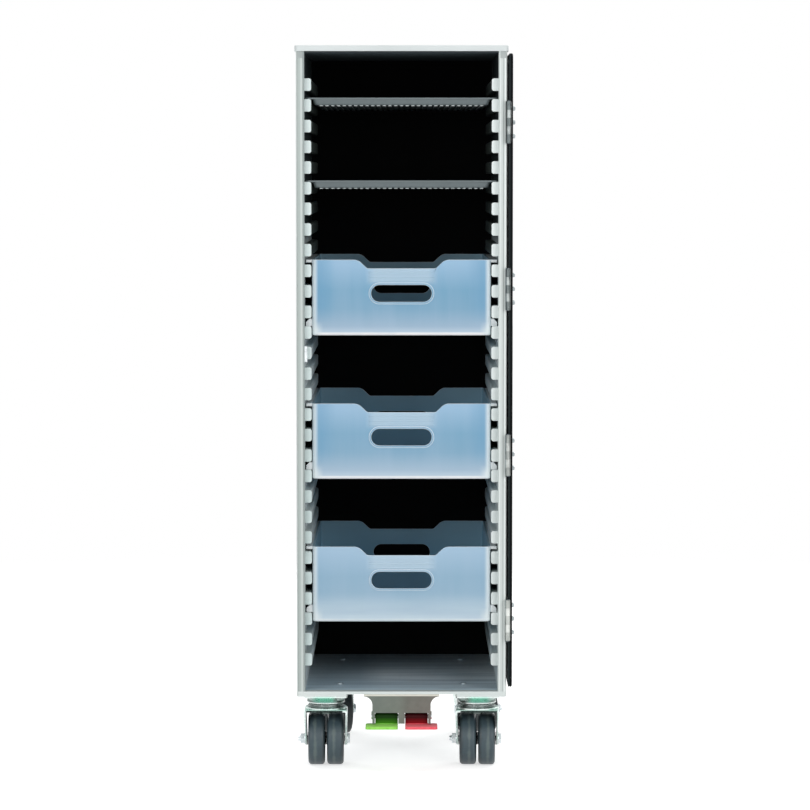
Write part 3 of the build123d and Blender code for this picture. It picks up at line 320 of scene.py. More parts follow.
def mould_grain(tree, shader, place, size=0.9 * MM):
    """The fine even grain that a spark-eroded mould leaves."""
    relief(tree, shader, patches(tree, place, size, detail=1.0), 0.02 * MM)


def colour(tree, shader, socket):
    """Links a pattern to the shader's colour."""
    tree.links.new(socket, shader.inputs["Base Color"])


def roughen(tree, shader, socket):
    """Links a pattern to the shader's roughness."""
    tree.links.new(socket, shader.inputs["Roughness"])


def moulded(name, dark, light, roughness, gloss=0.5):
    """Injection-moulded plastic: an even spark-eroded grain, with pigment that drifts a little."""
    material, tree, shader, place = start_finish(name, roughness, gloss=gloss)
    colour(tree, shader, drifting(tree, place, 60 * MM, dark, light))
    mould_grain(tree, shader, place)
    handled = patches(tree, place, 15 * MM)
    roughen(tree, shader, span(tree, handled, 0.3, 0.7, roughness - 0.05, roughness + 0.06))
    return material


def anodised_posts():
    """Extruded aluminium, etched and clear anodised, with painted light across each post's face: painted
    highlights on its flats and painted shade in its grooves, laid differently on the left and right posts.
    """
    material, tree, shader, place = start_finish("anodised_aluminium_posts", 0.45, metallic=0.35)
    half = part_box("corner_posts")[1].x
    across = parts(tree, place)["X"]
    inward = span(tree, distance(tree, across), half, half - POST_FACE)
    # Painted highlights and painted shade across the left post's face
    left = shades(
        tree,
        inward,
        ((0.1, "#e2e7e6"), (0.17, "#919b98"), (0.24, "#9fa9a6"), (0.5, "#a9b3b0"), (0.62, "#c2c9c7"),
         (0.78, "#bdc5c2"), (0.9, "#879190")),
    )
    # Painted highlights and painted shade across the right post's face
    right = shades(
        tree,
        inward,
        ((0.1, "#dbe2e0"), (0.34, "#d3dad8"), (0.41, "#a1aba9"), (0.48, "#c2c9c7"), (0.76, "#cbd2d0"),
         (0.84, "#e8edec"), (0.93, "#c6cfcd")),
    )
    face = blended(tree, span(tree, across, -1 * MM, 1 * MM), left, right)
    lines = patches(tree, place, 0.7 * MM, stretch=(1, 1, 0.004), detail=2.0)
    colour(tree, shader, blended(tree, span(tree, lines, 0.35, 0.65, 0.0, 0.2), face, "#bfc7c6"))
    relief(tree, shader, lines, 0.01 * MM)
    return material


def anodised_aluminium():
    """Extruded or pressed aluminium, etched and clear anodised: satin, with faint die lines."""
    material, tree, shader, place = start_finish("anodised_aluminium", 0.45, metallic=0.35)
    lines = patches(tree, place, 0.7 * MM, stretch=(0.01, 1, 1), detail=2.0)
    cloud = shades(tree, patches(tree, place, 90 * MM), ((0.3, "#ccd4d2"), (0.7, "#d6dcda")))
    colour(tree, shader, blended(tree, span(tree, lines, 0.35, 0.65, 0.0, 0.25), cloud, "#bfc7c6"))
    relief(tree, shader, lines, 0.01 * MM)
    return material


def cap_plastic(name, dark, light):
    """Moulded ABS, pale grey, in a fine grain with light scuffs where things are slid across it."""
    material, tree, shader, place = start_finish(name, 0.45)
    scuffs = patches(tree, place, 2.5 * MM, stretch=(0.06, 1, 1), detail=4.0)
    above = span(tree, facing(tree)["Z"], 0.7, 0.9, 0.0, 0.5)
    marked = product(tree, span(tree, scuffs, 0.62, 0.75), above)
    colour(tree, shader, blended(tree, marked, drifting(tree, place, 80 * MM, dark, light), "#b9bfbf"))
    mould_grain(tree, shader, place)
    return material


def sandwich_board(name, axis, inner_side, outer, inner, gloss=0.2):
    """Honeycomb board: pale satin laminate outside, and inside a colour that changes with height; on the
    side boards this is painted light and shade.
    """
    material, tree, shader, place = start_finish(name, 0.5, gloss=gloss)
    low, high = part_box("floor_panel")[1].z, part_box("ceiling_panel")[0].z
    height = span(tree, parts(tree, place)["Z"], low, high)
    waver = span(tree, patches(tree, place, 60 * MM), 0, 1, -0.01, 0.01)
    lining = shades(tree, sums(tree, "ADD", height, waver), inner)
    inward = span(tree, facing(tree)[axis], 0.4 * inner_side, 0.6 * inner_side)
    colour(tree, shader, blended(tree, inward, drifting(tree, place, 140 * MM, *outer), lining))
    relief(tree, shader, patches(tree, place, 3.0 * MM, detail=2.0), 0.02 * MM, 0.6)
    return material


def ceiling_liner():
    """Painted aluminium sheet over the load space: satin, with painted light and shade by depth: dark by
    the door, grey further in and darker again at the back.
    """
    material, tree, shader, place = start_finish("painted_ceiling_liner", 0.6, gloss=0.2)
    # Painted light and shade by depth
    shade = shades(
        tree,
        span(tree, parts(tree, place)["Y"], FRONT_Y, FRONT_Y + CEILING_RUN),
        ((0.0, "#2c3337"), (0.05, "#4e595f"), (0.35, "#717d84"), (0.6, "#6f7a81"), (0.85, "#5b656b"),
         (1.0, "#40494e")),
    )
    rubs = patches(tree, place, 3.0 * MM, stretch=(1, 0.03, 1), detail=4.0)
    colour(tree, shader, blended(tree, span(tree, rubs, 0.62, 0.8, 0.0, 0.15), shade, "#5a666c"))
    relief(tree, shader, patches(tree, place, 2.0 * MM, detail=2.0), 0.02 * MM, 0.5)
    return material


def floor_sheet():
    """Painted aluminium floor: blue-grey satin and scratched, with painted shade that deepens further in
    and a paler painted reflection from just left of the middle rightwards.
    """
    material, tree, shader, place = start_finish("painted_floor_blue_grey", 0.4, gloss=0.3)
    deep = span(tree, parts(tree, place)["Y"], FRONT_Y, FRONT_Y + FLOOR_RUN)
    # Painted shade that deepens further in
    paint_and_depth_shade = shades(
        tree,
        deep,
        ((0.0, "#c6dbe6"), (0.12, "#c3d6e0"), (0.35, "#b5c2c9"), (0.7, "#aab2b5"), (1.0, "#a5abad")),
    )
    # The same, paler: a painted reflection
    paler_tone = shades(
        tree,
        deep,
        ((0.0, "#c6dbe6"), (0.12, "#d0dfe6"), (0.35, "#dfe5e7"), (0.7, "#d3d6d6"), (1.0, "#b3b7b8")),
    )
    # Where the painted reflection lies across the floor
    painted_reflection_mask = span(tree, parts(tree, place)["X"], PAINTED_REFLECTION_FROM_X, PAINTED_REFLECTION_FULL_X)
    sheet = blended(tree, painted_reflection_mask, paint_and_depth_shade, paler_tone)
    scratches = patches(tree, place, 1.6 * MM, stretch=(1, 0.02, 1), detail=5.0)
    cross = patches(tree, place, 11.0 * MM, stretch=(0.05, 1, 1), detail=4.0)
    tone_with_painted_light = blended(tree, span(tree, scratches, 0.6, 0.75, 0.0, 0.2), sheet, "#8f9a9f")
    colour(tree, shader, blended(tree, span(tree, cross, 0.42, 0.66, 0.0, 0.55), tone_with_painted_light, "#87949c"))
    relief(tree, shader, scratches, 0.01 * MM, 0.5)
    return material


def runner_plastic(name, low_nose, high_nose, low_side, high_side):
    """Moulded runner: a pale nose towards the door, painted paler higher up as painted light, and a side in
    painted shade near the top and painted light lower down.
    """
    material, tree, shader, place = start_finish(name, 0.48, gloss=0.3)
    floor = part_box("floor_panel")[1].z
    height = parts(tree, place)["Z"]
    # Painted light: the noses are painted paler higher up
    upper = span(tree, height, floor + NOSES_PALER, floor + NOSES_PALEST)
    nose = blended(tree, upper, drifting(tree, place, 30 * MM, *low_nose), high_nose)
    # Painted shade on the sides near the top, and painted light lower down
    shade = shades(
        tree,
        span(tree, height, floor, floor + SIDES_END),
        ((0.06, "#6e6e6e"), (0.14, "#9a9a9a"), (0.3, "#000000"), (0.74, "#000000"), (0.78, "#ffffff")),
    )
    side = blended(tree, shade, low_side, high_side)
    forward = span(tree, product(tree, facing(tree)["Y"], -1.0), 0.45, 0.85)
    colour(tree, shader, blended(tree, forward, side, nose))
    mould_grain(tree, shader, place)
    return material


def crown_marks(tree, place, tint):
    """The plating on a fork's crown: streaks of green by height, and painted shade on its inner bend over
    the wheels.
    """
    height = parts(tree, place)["Z"]
    streak = shades(
        tree,
        span(tree, height, CROWN_LOW, CROWN_HIGH),
        ((0.3, "#000000"), (0.42, "#c0c0c0"), (0.56, "#d0d0d0"), (0.64, "#303030"), (0.9, "#505050")),
    )
    # Painted shade on the inner bend over the wheels
    painted_bend_shade = product(
        tree,
        span(tree, height, BEND_DARK_Z, BEND_END_Z, 1.0, 0.0),
        span(tree, from_swivel(tree, place), BEND_DARK_X, BEND_END_X, 1.0, 0.0),
    )
    return blended(tree, painted_bend_shade, blended(tree, streak, tint, "#5d9c88"), "#0b0f10")


def ring_painted_bands(tree, place, tint):
    """The plating on a caster mount's rings: painted highlights and painted shade in bands by height,
    greener near the swivel's line.
    """
    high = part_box("caster_mounts")[1].z
    level = span(tree, parts(tree, place)["Z"], high - RINGS_HEIGHT, high)
    low_painted_bands = (
        (0.0, "#141a1a"), (0.13, "#1c2725"), (0.2, "#1c2725"), (0.24, "#eef4f2"), (0.42, "#f3f7f6"),
    )
    grey = shades(
        tree,
        level,
        low_painted_bands + ((0.47, "#2f3d3a"), (0.55, "#3c4b47"), (0.62, "#c3cfcb"), (0.8, "#e6edeb")),
    )
    green = shades(
        tree,
        level,
        low_painted_bands + ((0.47, "#49746a"), (0.58, "#6fb8a2"), (0.7, "#a8dccb"), (0.82, "#e4fff6"),
                     (0.9, "#c4ecdf")),
    )
    middle = span(tree, from_swivel(tree, place), GREEN_FADES_X, GREEN_END_X, 1.0, 0.0)
    return blended(tree, RINGS_STRENGTH, tint, blended(tree, middle, grey, green))


def zinc_plate(name, marks=None):
    """Pressed steel, zinc plated and blue passivated: bright, with a green cast and fine spangle."""
    material, tree, shader, place = start_finish(name, 0.3, metallic=0.9)
    cells = add(tree, "ShaderNodeTexVoronoi", {"Vector": place, "Scale": 1 / (2.2 * MM)})
    spangle = add(tree, "ShaderNodeRGBToBW", {"Color": cells.outputs["Color"]}).outputs["Val"]
    cast = patches(tree, place, 16 * MM)
    tint = shades(tree, cast, ((0.3, "#b4cfc6"), (0.5, "#d2dedb"), (0.7, "#e8eeec")))
    if marks:
        tint = marks(tree, place, tint)
    colour(tree, shader, blended(tree, span(tree, spangle, 0.2, 0.8, 0.0, 0.16), tint, "#86a198"))
    roughen(tree, shader, span(tree, spangle, 0.0, 1.0, 0.24, 0.38))
    relief(tree, shader, patches(tree, place, 1.2 * MM), 0.01 * MM)
    return material


def hinge_steel(name, dark, light, low_dark, low_light):
    """Stainless steel, satin: brushed along the leaf, with painted light that makes the low hinges lighter
    than the high ones.
    """
    material, tree, shader, place = start_finish(name, 0.34, metallic=1.0)
    brushed = patches(tree, place, 5 * MM, stretch=(1, 1, 0.2), detail=4.0)
    upper = shades(tree, brushed, ((0.35, dark), (0.65, light)))
    lower = shades(tree, brushed, ((0.35, low_dark), (0.65, low_light)))
    # Painted light: the hinges turn lighter towards the floor
    down = span(tree, parts(tree, place)["Z"], HINGES_DARKEST, HINGES_LIGHTEST)
    colour(tree, shader, blended(tree, down, upper, lower))
    roughen(tree, shader, span(tree, brushed, 0.3, 0.7, 0.26, 0.42))
    relief(tree, shader, patches(tree, place, 0.5 * MM, stretch=(1, 1, 0.05)), 0.006 * MM)
    return material


def turned_steel(name, dark, light, roughness, metallic=1.0):
    """Nickel-plated or stainless steel, with the faint marks of turning and handling."""
    material, tree, shader, place = start_finish(name, roughness, metallic=metallic)
    smudge = patches(tree, place, 8 * MM)
    colour(tree, shader, shades(tree, smudge, ((0.3, dark), (0.7, light))))
    roughen(tree, shader, span(tree, smudge, 0.3, 0.7, roughness - 0.06, roughness + 0.08))
    relief(tree, shader, patches(tree, place, 0.6 * MM, stretch=(1, 1, 0.1)), 0.006 * MM)
    return material


def drawer_plastic(name, node, milk):
    """Translucent polypropylene: milky ice blue, whiter low down in streaks, with painted light that
    whitens its side edges, its feet and its outer faces.
    """
    material, tree, shader, place = start_finish(name, 0.36, ior=1.49, gloss=0.35)
    low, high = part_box(node)
    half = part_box("right_runners")[0].x - RUNNER_GAP
    at = parts(tree, place)
    height = span(tree, at["Z"], low.z, high.z)
    off_middle = distance(tree, at["X"])
    flow = patches(tree, place, 22 * MM, stretch=(1, 1, 0.1))
    streaks = patches(tree, place, 16 * MM, stretch=(0.12, 1, 1))
    body = shades(
        tree,
        height,
        ((0.032, "#fdfeff"), (0.046, "#c3d6e6"), (0.12, "#a3bfd6"), (0.35, "#82afcc"), (0.6, "#7badcc"),
         (0.95, "#9fc6e4")),
    )
    body = blended(tree, milk, body, "#c3d4e0")
    whiter = product(
        tree,
        span(tree, height, 0.4, 0.06, 0.0, milk),
        span(tree, streaks, 0.3, 0.7, 0.8, 2.4),
    )
    body = blended(tree, whiter, body, "#d2e6ee")
    body = blended(tree, span(tree, flow, 0.3, 0.7, 0.0, 0.18), body, "#b9cfe4")
    ribs_across = span(tree, off_middle, 38 * MM, 52 * MM, 1.0, 0.0)
    ribs_up = product(
        tree,
        span(tree, at["Z"], high.z - 36 * MM, high.z - 30 * MM),
        span(tree, at["Z"], high.z - 13 * MM, high.z - 11 * MM, 1.0, 0.6),
    )
    body = blended(tree, product(tree, product(tree, ribs_across, ribs_up), 0.6), body, "#cbdfec")
    clearer = product(
        tree,
        span(tree, off_middle, half - 34 * MM, half - 14 * MM, 0.0, 0.5 - 1.5 * milk),
        span(tree, height, 0.15, 0.4),
    )
    body = blended(tree, clearer, body, "#6ba5cb")
    # Painted light: the side edges whitened
    edge = span(tree, off_middle, half - 9 * MM, half - 4 * MM, 0.0, 0.92)
    body = blended(tree, edge, body, "#dfecf2")
    # Painted light on the feet, against their shade
    foot_painted_light = product(
        tree,
        span(tree, off_middle, half - 16 * MM, half - 4 * MM),
        span(tree, at["Z"], low.z + 8 * MM, low.z + 20 * MM, 1.0, 0.0),
    )
    body = blended(tree, foot_painted_light, body, "#e6f1f4")
    inside = shades(tree, height, ((0.0, "#96bfd8"), (0.5, "#8cbbd2"), (1.0, "#97bccd")))
    behind_front = span(tree, at["Y"], low.y + 4 * MM, low.y + 16 * MM)
    body = blended(tree, behind_front, body, inside)
    # Painted light on the faces that face outwards, beside the runners
    outboard_painted_light = span(tree, off_middle, half - 0.5 * MM, half + 0.5 * MM)
    colour(tree, shader, blended(tree, outboard_painted_light, body, "#f6fbfd"))
    shader.inputs["Transmission Weight"].default_value = 0.1
    relief(tree, shader, patches(tree, place, 1.1 * MM, detail=1.0), 0.012 * MM)
    relief(tree, shader, flow, 0.05 * MM, 0.5)
    return material


def rim_painted_highlight(name, dark, light):
    """The rounded rim of a clear moulding, painted nearly white as a painted highlight, and smooth."""
    material, tree, shader, place = start_finish(name, 0.22, ior=1.49)
    colour(tree, shader, shades(tree, patches(tree, place, 12 * MM), ((0.3, dark), (0.7, light))))
    relief(tree, shader, patches(tree, place, 1.5 * MM, detail=1.0), 0.01 * MM)
    return material


def tray_plastic(name, node):
    """Clear polycarbonate gone grey-green with use: smoky, with bright ribs underneath, painted shade on
    its downward faces and a dull top.
    """
    material, tree, shader, place = start_finish(name, 0.3, ior=1.58, gloss=0.25)
    low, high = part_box(node)
    height = span(tree, parts(tree, place)["Z"], low.z, high.z)
    flow = patches(tree, place, 14 * MM, stretch=(1, 0.15, 1))
    tint = shades(tree, height, ((0.0, "#f4fbfb"), (0.1, "#e3eeee"), (0.15, "#6d797c"), (0.8, "#7f8b8e")))
    # Painted shade on the downward faces
    painted_underside_shade = span(tree, facing(tree)["Z"], -0.9, -0.6, 1.0, 0.0)
    tint = blended(tree, painted_underside_shade, tint, "#5f6a6c")
    above = span(tree, facing(tree)["Z"], 0.7, 0.95)
    tint = blended(tree, above, tint, "#8d999b")
    colour(tree, shader, blended(tree, span(tree, flow, 0.3, 0.7, 0.0, 0.2), tint, "#9aa7aa"))
    roughen(tree, shader, span(tree, above, 0.0, 1.0, 0.3, 0.7))
    shader.inputs["Transmission Weight"].default_value = 0.3
    relief(tree, shader, patches(tree, place, 1.0 * MM, detail=1.0), 0.012 * MM)
    return material


def tyre_rubber(name, edge, body, tone_with_painted_light):
    """Cast polyurethane: smooth blue-grey, with painted shade on its shoulders and a painted highlight
    along the middle of the tread.
    """
    material, tree, shader, place = start_finish(name, 0.42)
    dust = patches(tree, place, 14 * MM, detail=4.0)
    specks = patches(tree, place, 1.2 * MM, detail=2.0)
    off_tread = distance(tree, from_swivel(tree, place), TYRE_MIDDLE)
    off_tread = sums(tree, "ADD", off_tread, span(tree, dust, 0.0, 1.0, -HIGHLIGHT_WANDER, HIGHLIGHT_WANDER))
    # Painted highlight along the middle of the tread, painted shade on the shoulders
    base = shades(
        tree,
        span(tree, off_tread, 0, TYRE_HALF),
        ((0.0, tone_with_painted_light), (0.25, body), (0.65, body), (1.0, edge)),
    )
    colour(tree, shader, blended(tree, span(tree, specks, 0.72, 0.8, 0.0, 0.5), base, "#8f989c"))
    relief(tree, shader, patches(tree, place, 0.8 * MM), 0.015 * MM)
    return material


def black_rubber():
    """Extruded rubber edge trim: soft black, with faint drawing lines and a grey line on its inner lip."""
    material, tree, shader, place = start_finish("extruded_rubber_black", 0.5, gloss=0.06)
    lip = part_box("door_edge_trim")[0].x
    lines = patches(tree, place, 0.8 * MM, stretch=(1, 1, 0.01))
    black = shades(tree, lines, ((0.35, "#06080a"), (0.7, "#0e1214")))
    grey_lip_line = span(tree, parts(tree, place)["X"], lip + 2.0 * MM, lip + 3.2 * MM, 1.0, 0.0)
    colour(tree, shader, blended(tree, grey_lip_line, black, "#232a2c"))
    relief(tree, shader, lines, 0.01 * MM)
    return material


def pedal_plastic(name, tread, arm_low, arm_high):
    """Glass-filled nylon, dyed through: a bright tread, painted lighter on its upward faces, under an arm
    painted in shade that darkens towards the top.
    """
    material, tree, shader, place = start_finish(name, 0.5, gloss=0.12)
    low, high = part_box("green_pedal")
    paler_tone = patches(tree, place, 5 * MM, detail=4.0)
    bright = shades(tree, paler_tone, ((0.3, tread[0]), (0.7, tread[1])))
    # Painted light on the tread's upward faces
    bright = blended(tree, span(tree, facing(tree)["Z"], 0.6, 0.9, 0.0, 0.5), bright, tread[2])
    height = parts(tree, place)["Z"]
    # Painted shade on the arm, darkest at the top
    arm_painted_shade = blended(tree, span(tree, height, low.z + 5 * MM, high.z - 7 * MM), arm_low, arm_high)
    over_tread = span(tree, height, low.z + TREAD_TOP, low.z + TREAD_TOP + 0.8 * MM)
    colour(tree, shader, blended(tree, over_tread, bright, arm_painted_shade))
    mould_grain(tree, shader, place, 0.8 * MM)
    return material


def housing_nylon():
    """Moulded nylon brake housing: grey-green to beige, with a cream flange where it meets the base."""
    material, tree, shader, place = start_finish("moulded_housing_nylon", 0.5)
    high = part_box("brake_housing")[1].z
    at = parts(tree, place)
    across = span(tree, at["X"], -45 * MM, 45 * MM)
    body = shades(tree, across, ((0.0, "#68716a"), (0.45, "#6b7269"), (0.6, "#66665e"), (1.0, "#6b6760")))
    flange = span(tree, at["Z"], high - 3.4 * MM, high - 2.4 * MM)
    tint = blended(tree, flange, body, "#e6e4d8")
    cloud = patches(tree, place, 12 * MM)
    colour(tree, shader, blended(tree, span(tree, cloud, 0.35, 0.7, 0.0, 0.12), tint, "#a09f96"))
    mould_grain(tree, shader, place)
    return material


def board_finishes():
    """The finishes of the boards that close the cabinet, and of the door's."""
    outer = ("#d0d6d7", "#d5dbdb")
    # The side boards' inner faces: painted light, pale up to about two thirds of the height, and painted
    # shade, dark above it
    side_lining_painted_light = ((0.02, "#d3dbdc"), (0.1, "#d7dfe0"), (0.16, "#f0f6f7"), (0.66, "#ecf4f6"),
                   (0.7, "#c9d4d6"), (0.73, "#2e3537"), (0.9, "#394144"))
    back_lining = ((0.05, "#0a0c0d"), (0.3, "#030404"), (0.8, "#050607"))
    door_lining = ((0.3, "#d0d6d7"), (0.7, "#d5dbdb"))
    return {
        "left_side_panel": sandwich_board("left_sandwich_board", "X", 1, outer, side_lining_painted_light),
        "right_side_panel": sandwich_board("right_sandwich_board", "X", -1, outer, side_lining_painted_light),
        "back_panel": sandwich_board("back_sandwich_board", "Y", -1, outer, back_lining, gloss=0.03),
        "door_panel": sandwich_board("door_board", "X", 1, outer, door_lining),
    }


def runner_finishes():
    """The finishes of the two rows of runners. The noses on the right are painted a little paler, as
    painted light.
    """
    sides = ("#d0d8d7", "#49524f")
    return {
        "left_runners": runner_plastic("moulded_left_runners", ("#cddcdb", "#d8e7e6"), "#e6f2f1", *sides),
        "right_runners": runner_plastic("moulded_right_runners", ("#d6dedd", "#e2e9e8"), "#f2f9f8", *sides),
    }


def pedal_finishes():
    """The finishes of the two brake pedals."""
    green = ("#93dd58", "#a8ef70", "#b9f783")
    red = ("#fa5b68", "#ff7680", "#ff8f96")
    return {
        # The arms' colours, low and high, are painted shade
        "green_pedal": pedal_plastic("dyed_nylon_green", green, "#3f8413", "#163a08"),
        "red_pedal": pedal_plastic("dyed_nylon_red", red, "#8c0917", "#3c0308"),
    }


def caster_finishes(bright):
    """The finishes of the forks, axle bolts, hubs and tyres."""
    fork = zinc_plate("zinc_plated_forks", crown_marks)
    hub = moulded("moulded_hub_black", "#0f1416", "#171c1f", 0.6, gloss=0.12)
    front_tyre = tyre_rubber("cast_polyurethane_grey", "#2a363b", "#3c4c53", "#5a6868")
    # The rear tyres: the same rubber, painted darker as painted shade
    rear_tyre = tyre_rubber("cast_polyurethane_painted_shade", "#1f2628", "#2d3537", "#3f484a")
    by_node = {}
    for corner in CASTERS:
        by_node[f"fork_{corner}"] = fork
        by_node[f"axle_{corner}"] = bright
    for wheel in WHEELS:
        by_node[f"hub_{wheel}"] = hub
        by_node[f"tyre_{wheel}"] = front_tyre if wheel.startswith("front") else rear_tyre
    return by_node


def finishes():
    """The finish of every CAD node, by the node's name."""
    aluminium = anodised_aluminium()
    bright = turned_steel("nickel_plated_steel", "#c9d2d5", "#edf2f4", 0.26, metallic=0.85)
    grey = moulded("moulded_grey_nylon", "#a7afae", "#b3bbba", 0.5)
    pale = cap_plastic("moulded_abs_pale_grey", "#d6dddd", "#dee5e5")
    # The post's and the door's leaves are one steel; their different shades are painted light and shade
    post_leaf = hinge_steel("stainless_steel_post_leaves_painted_light", "#4b5253", "#626969", "#9da29e", "#b9bdb9")
    door_leaf = hinge_steel("stainless_steel_door_leaves_painted_shade", "#464c4c", "#a3a9a8", "#b9bdb9", "#d2d5d1")
    by_node = {
        "top_cap": pale,
        "ceiling_panel": ceiling_liner(),
        "floor_panel": floor_sheet(),
        "base_frame": aluminium,
        "corner_posts": anodised_posts(),
        "corner_blocks": grey,
        "caster_pads": aluminium,
        "caster_mounts": zinc_plate("zinc_plated_races", ring_painted_bands),
        "latch_striker": bright,
        "hinge_post_leaves": post_leaf,
        "hinge_pins": turned_steel("hinge_pins_dull", "#4d5356", "#6d7477", 0.36),
        "floor_rivets": turned_steel("rivets_dull_with_wear", "#9aa6ab", "#b3bec3", 0.5, metallic=0.6),
        "brake_housing": housing_nylon(),
        "pedal_pivot_pin": bright,
        "brake_rod_guides": grey,
        "door_edge_trim": black_rubber(),
        "hinge_door_leaves": door_leaf,
        "door_rivets": turned_steel("steel_rivets_satin", "#9aa2a4", "#bcc3c5", 0.36),
        "latch_housing": grey,
        "latch_paddle": pale,
        "latch_bolt": bright,
        "tray_1": tray_plastic("smoked_polycarbonate_1", "tray_1"),
        "tray_2": tray_plastic("smoked_polycarbonate_2", "tray_2"),
        "brake_rod": zinc_plate("zinc_plated_steel"),
    }
    for number, milk in ((1, 0.0), (2, 0.06), (3, 0.3)):
        node = f"drawer_{number}"
        by_node[node] = drawer_plastic(f"milky_polypropylene_{number}", node, milk)
    by_node.update(board_finishes())
    by_node.update(runner_finishes())
    by_node.update(pedal_finishes())
    by_node.update(caster_finishes(bright))
    return by_node


def dress_nodes(by_node):
    """Gives each CAD node its finish."""
    for name, material in by_node.items():
        node = NODES[name]
        for slot in node.material_slots:
            slot.material = material
        if not node.material_slots:
            node.data.materials.append(material)


def only(piece):
    """Leaves one piece selected and active."""
    bpy.ops.object.select_all(action="DESELECT")
    piece.select_set(True)
    bpy.context.view_layer.objects.active = piece


def soften_notch(piece):
    """Turns the upper corners of a drawer's notch into curves, as the moulder's tool has them."""
    mesh = piece.data
    top = max(point.co.z for point in mesh.vertices)
    bpy.ops.mesh.select_all(action="DESELECT")
    bpy.ops.object.mode_set(mode="OBJECT")
    found = 0
    for edge in mesh.edges:
        first, second = (mesh.vertices[index].co for index in edge.vertices)
        level = abs(first.x - second.x) < LEVEL_WITHIN and abs(first.z - second.z) < LEVEL_WITHIN
        at_top = abs(first.z - top) < TOP_WITHIN
        if level and at_top and abs(abs(first.x) - NOTCH_TOP_X) < NOTCH_WITHIN:
            edge.select = True
            found += 1
    bpy.ops.object.mode_set(mode="EDIT")
    if found:
        bpy.ops.mesh.select_mode(type="EDGE")
        bpy.ops.mesh.bevel(
            offset=NOTCH_ROUNDING, segments=NOTCH_SEGMENTS, affect="EDGES", clamp_overlap=True
        )


def quieten_band(piece):
    """Gives the rounding of a drawer's shallow ribs the drawer's own colour in place of the painted rim
    highlight.
    """
    top = max(point.co.z for point in piece.data.vertices)
    for face in piece.data.polygons:
        centre = face.center
        if abs(centre.x) < BAND_X and top - BAND_LOW < centre.z < top - BAND_HIGH:
            face.material_index = 0


def round_edges(piece, name, width, angle):
    """Adds a bevel, not applied yet, to the edges of a piece that turn by more than an angle."""
    rounding = piece.modifiers.new(name, "BEVEL")
    rounding.width = width
    rounding.segments = EDGE_SEGMENTS
    rounding.limit_method = "ANGLE"
    rounding.angle_limit = angle
    return rounding


def eased(node, width, body, materials):
    """A copy of a CAD piece with its arrises rounded by a width. A second material goes on the rounding."""
    piece = bpy.data.objects.new(f"{node}_eased", NODES[node].data.copy())
    bpy.context.scene.collection.objects.link(piece)
    only(piece)
    bpy.ops.object.mode_set(mode="EDIT")
    bpy.ops.mesh.select_all(action="SELECT")
    bpy.ops.mesh.remove_doubles(threshold=SAME_POINT)
    bpy.ops.mesh.dissolve_limited(angle_limit=SAME_FLAT)
    if node.startswith("drawer"):
        soften_notch(piece)
    bpy.ops.object.mode_set(mode="OBJECT")
    piece.data.materials.clear()
    for material in materials:
        piece.data.materials.append(material)
    for face in piece.data.polygons:
        face.material_index = 0
    rounding = round_edges(piece, "arris", width, ARRIS_ANGLE)
    rounding.material = len(materials) - 1
    bpy.ops.object.modifier_apply(modifier=rounding.name)
    if node.startswith("drawer"):
        quieten_band(piece)
    bpy.ops.object.shade_smooth_by_angle(angle=ARRIS_ANGLE)
    flats = piece.modifiers.new("flats", "WEIGHTED_NORMAL")
    flats.keep_sharp = True
    bpy.ops.object.modifier_apply(modifier=flats.name)
    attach(piece, body)
    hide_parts(node)


def ease_pieces(by_node):
    """Rounds the arrises of the pieces that the eye or a hand meets."""
    # Painted highlights for the rounded rims
    drawer_rim_highlight = rim_painted_highlight("polypropylene_rim_painted_highlight", "#e3f0f8", "#f3f9fc")
    tray_rim_highlight = rim_painted_highlight("polycarbonate_rim_painted_highlight", "#cbd8d9", "#e6efef")
    for node in ("drawer_1", "drawer_2", "drawer_3"):
        eased(node, DRAWER_EDGE, node, (by_node[node], drawer_rim_highlight))
    for node in ("tray_1", "tray_2"):
        eased(node, TRAY_EDGE, node, (by_node[node], tray_rim_highlight))
    for node, width, body, slot in EASED_PIECES:
        eased(node, width, body, (by_node[node],))
    for corner in CASTERS:
        fork = f"fork_{corner}"
        axle = f"axle_{corner}"
        eased(fork, FORK_EDGE, fork, (by_node[fork],))
        eased(axle, AXLE_EDGE, fork, (by_node[axle],))


def axle_lines():
    """The middle and the direction of each caster's axle bolt, from its two wheels."""
    joints = {joint["name"]: joint for joint in frame["record"]["behaviour"]["joints"]}
    lines = {}
    for corner in CASTERS:
        first, second = (Vector(joints[f"roll_{corner}_{side}"]["pos_m"]) for side in ("a", "b"))
        along = Vector(joints[f"roll_{corner}_a"]["axis"]).normalized()
        lines[corner] = (first + second) / 2, along
    return lines


def stand_on(piece, place, along):
    """Turns a piece's upright line along a direction, moves it to a place, and settles it there."""
    only(piece)
    piece.location = place
    piece.rotation_euler = along.to_track_quat("Z", "Y").to_euler()
    bpy.ops.object.transform_apply(location=True, rotation=True, scale=True)


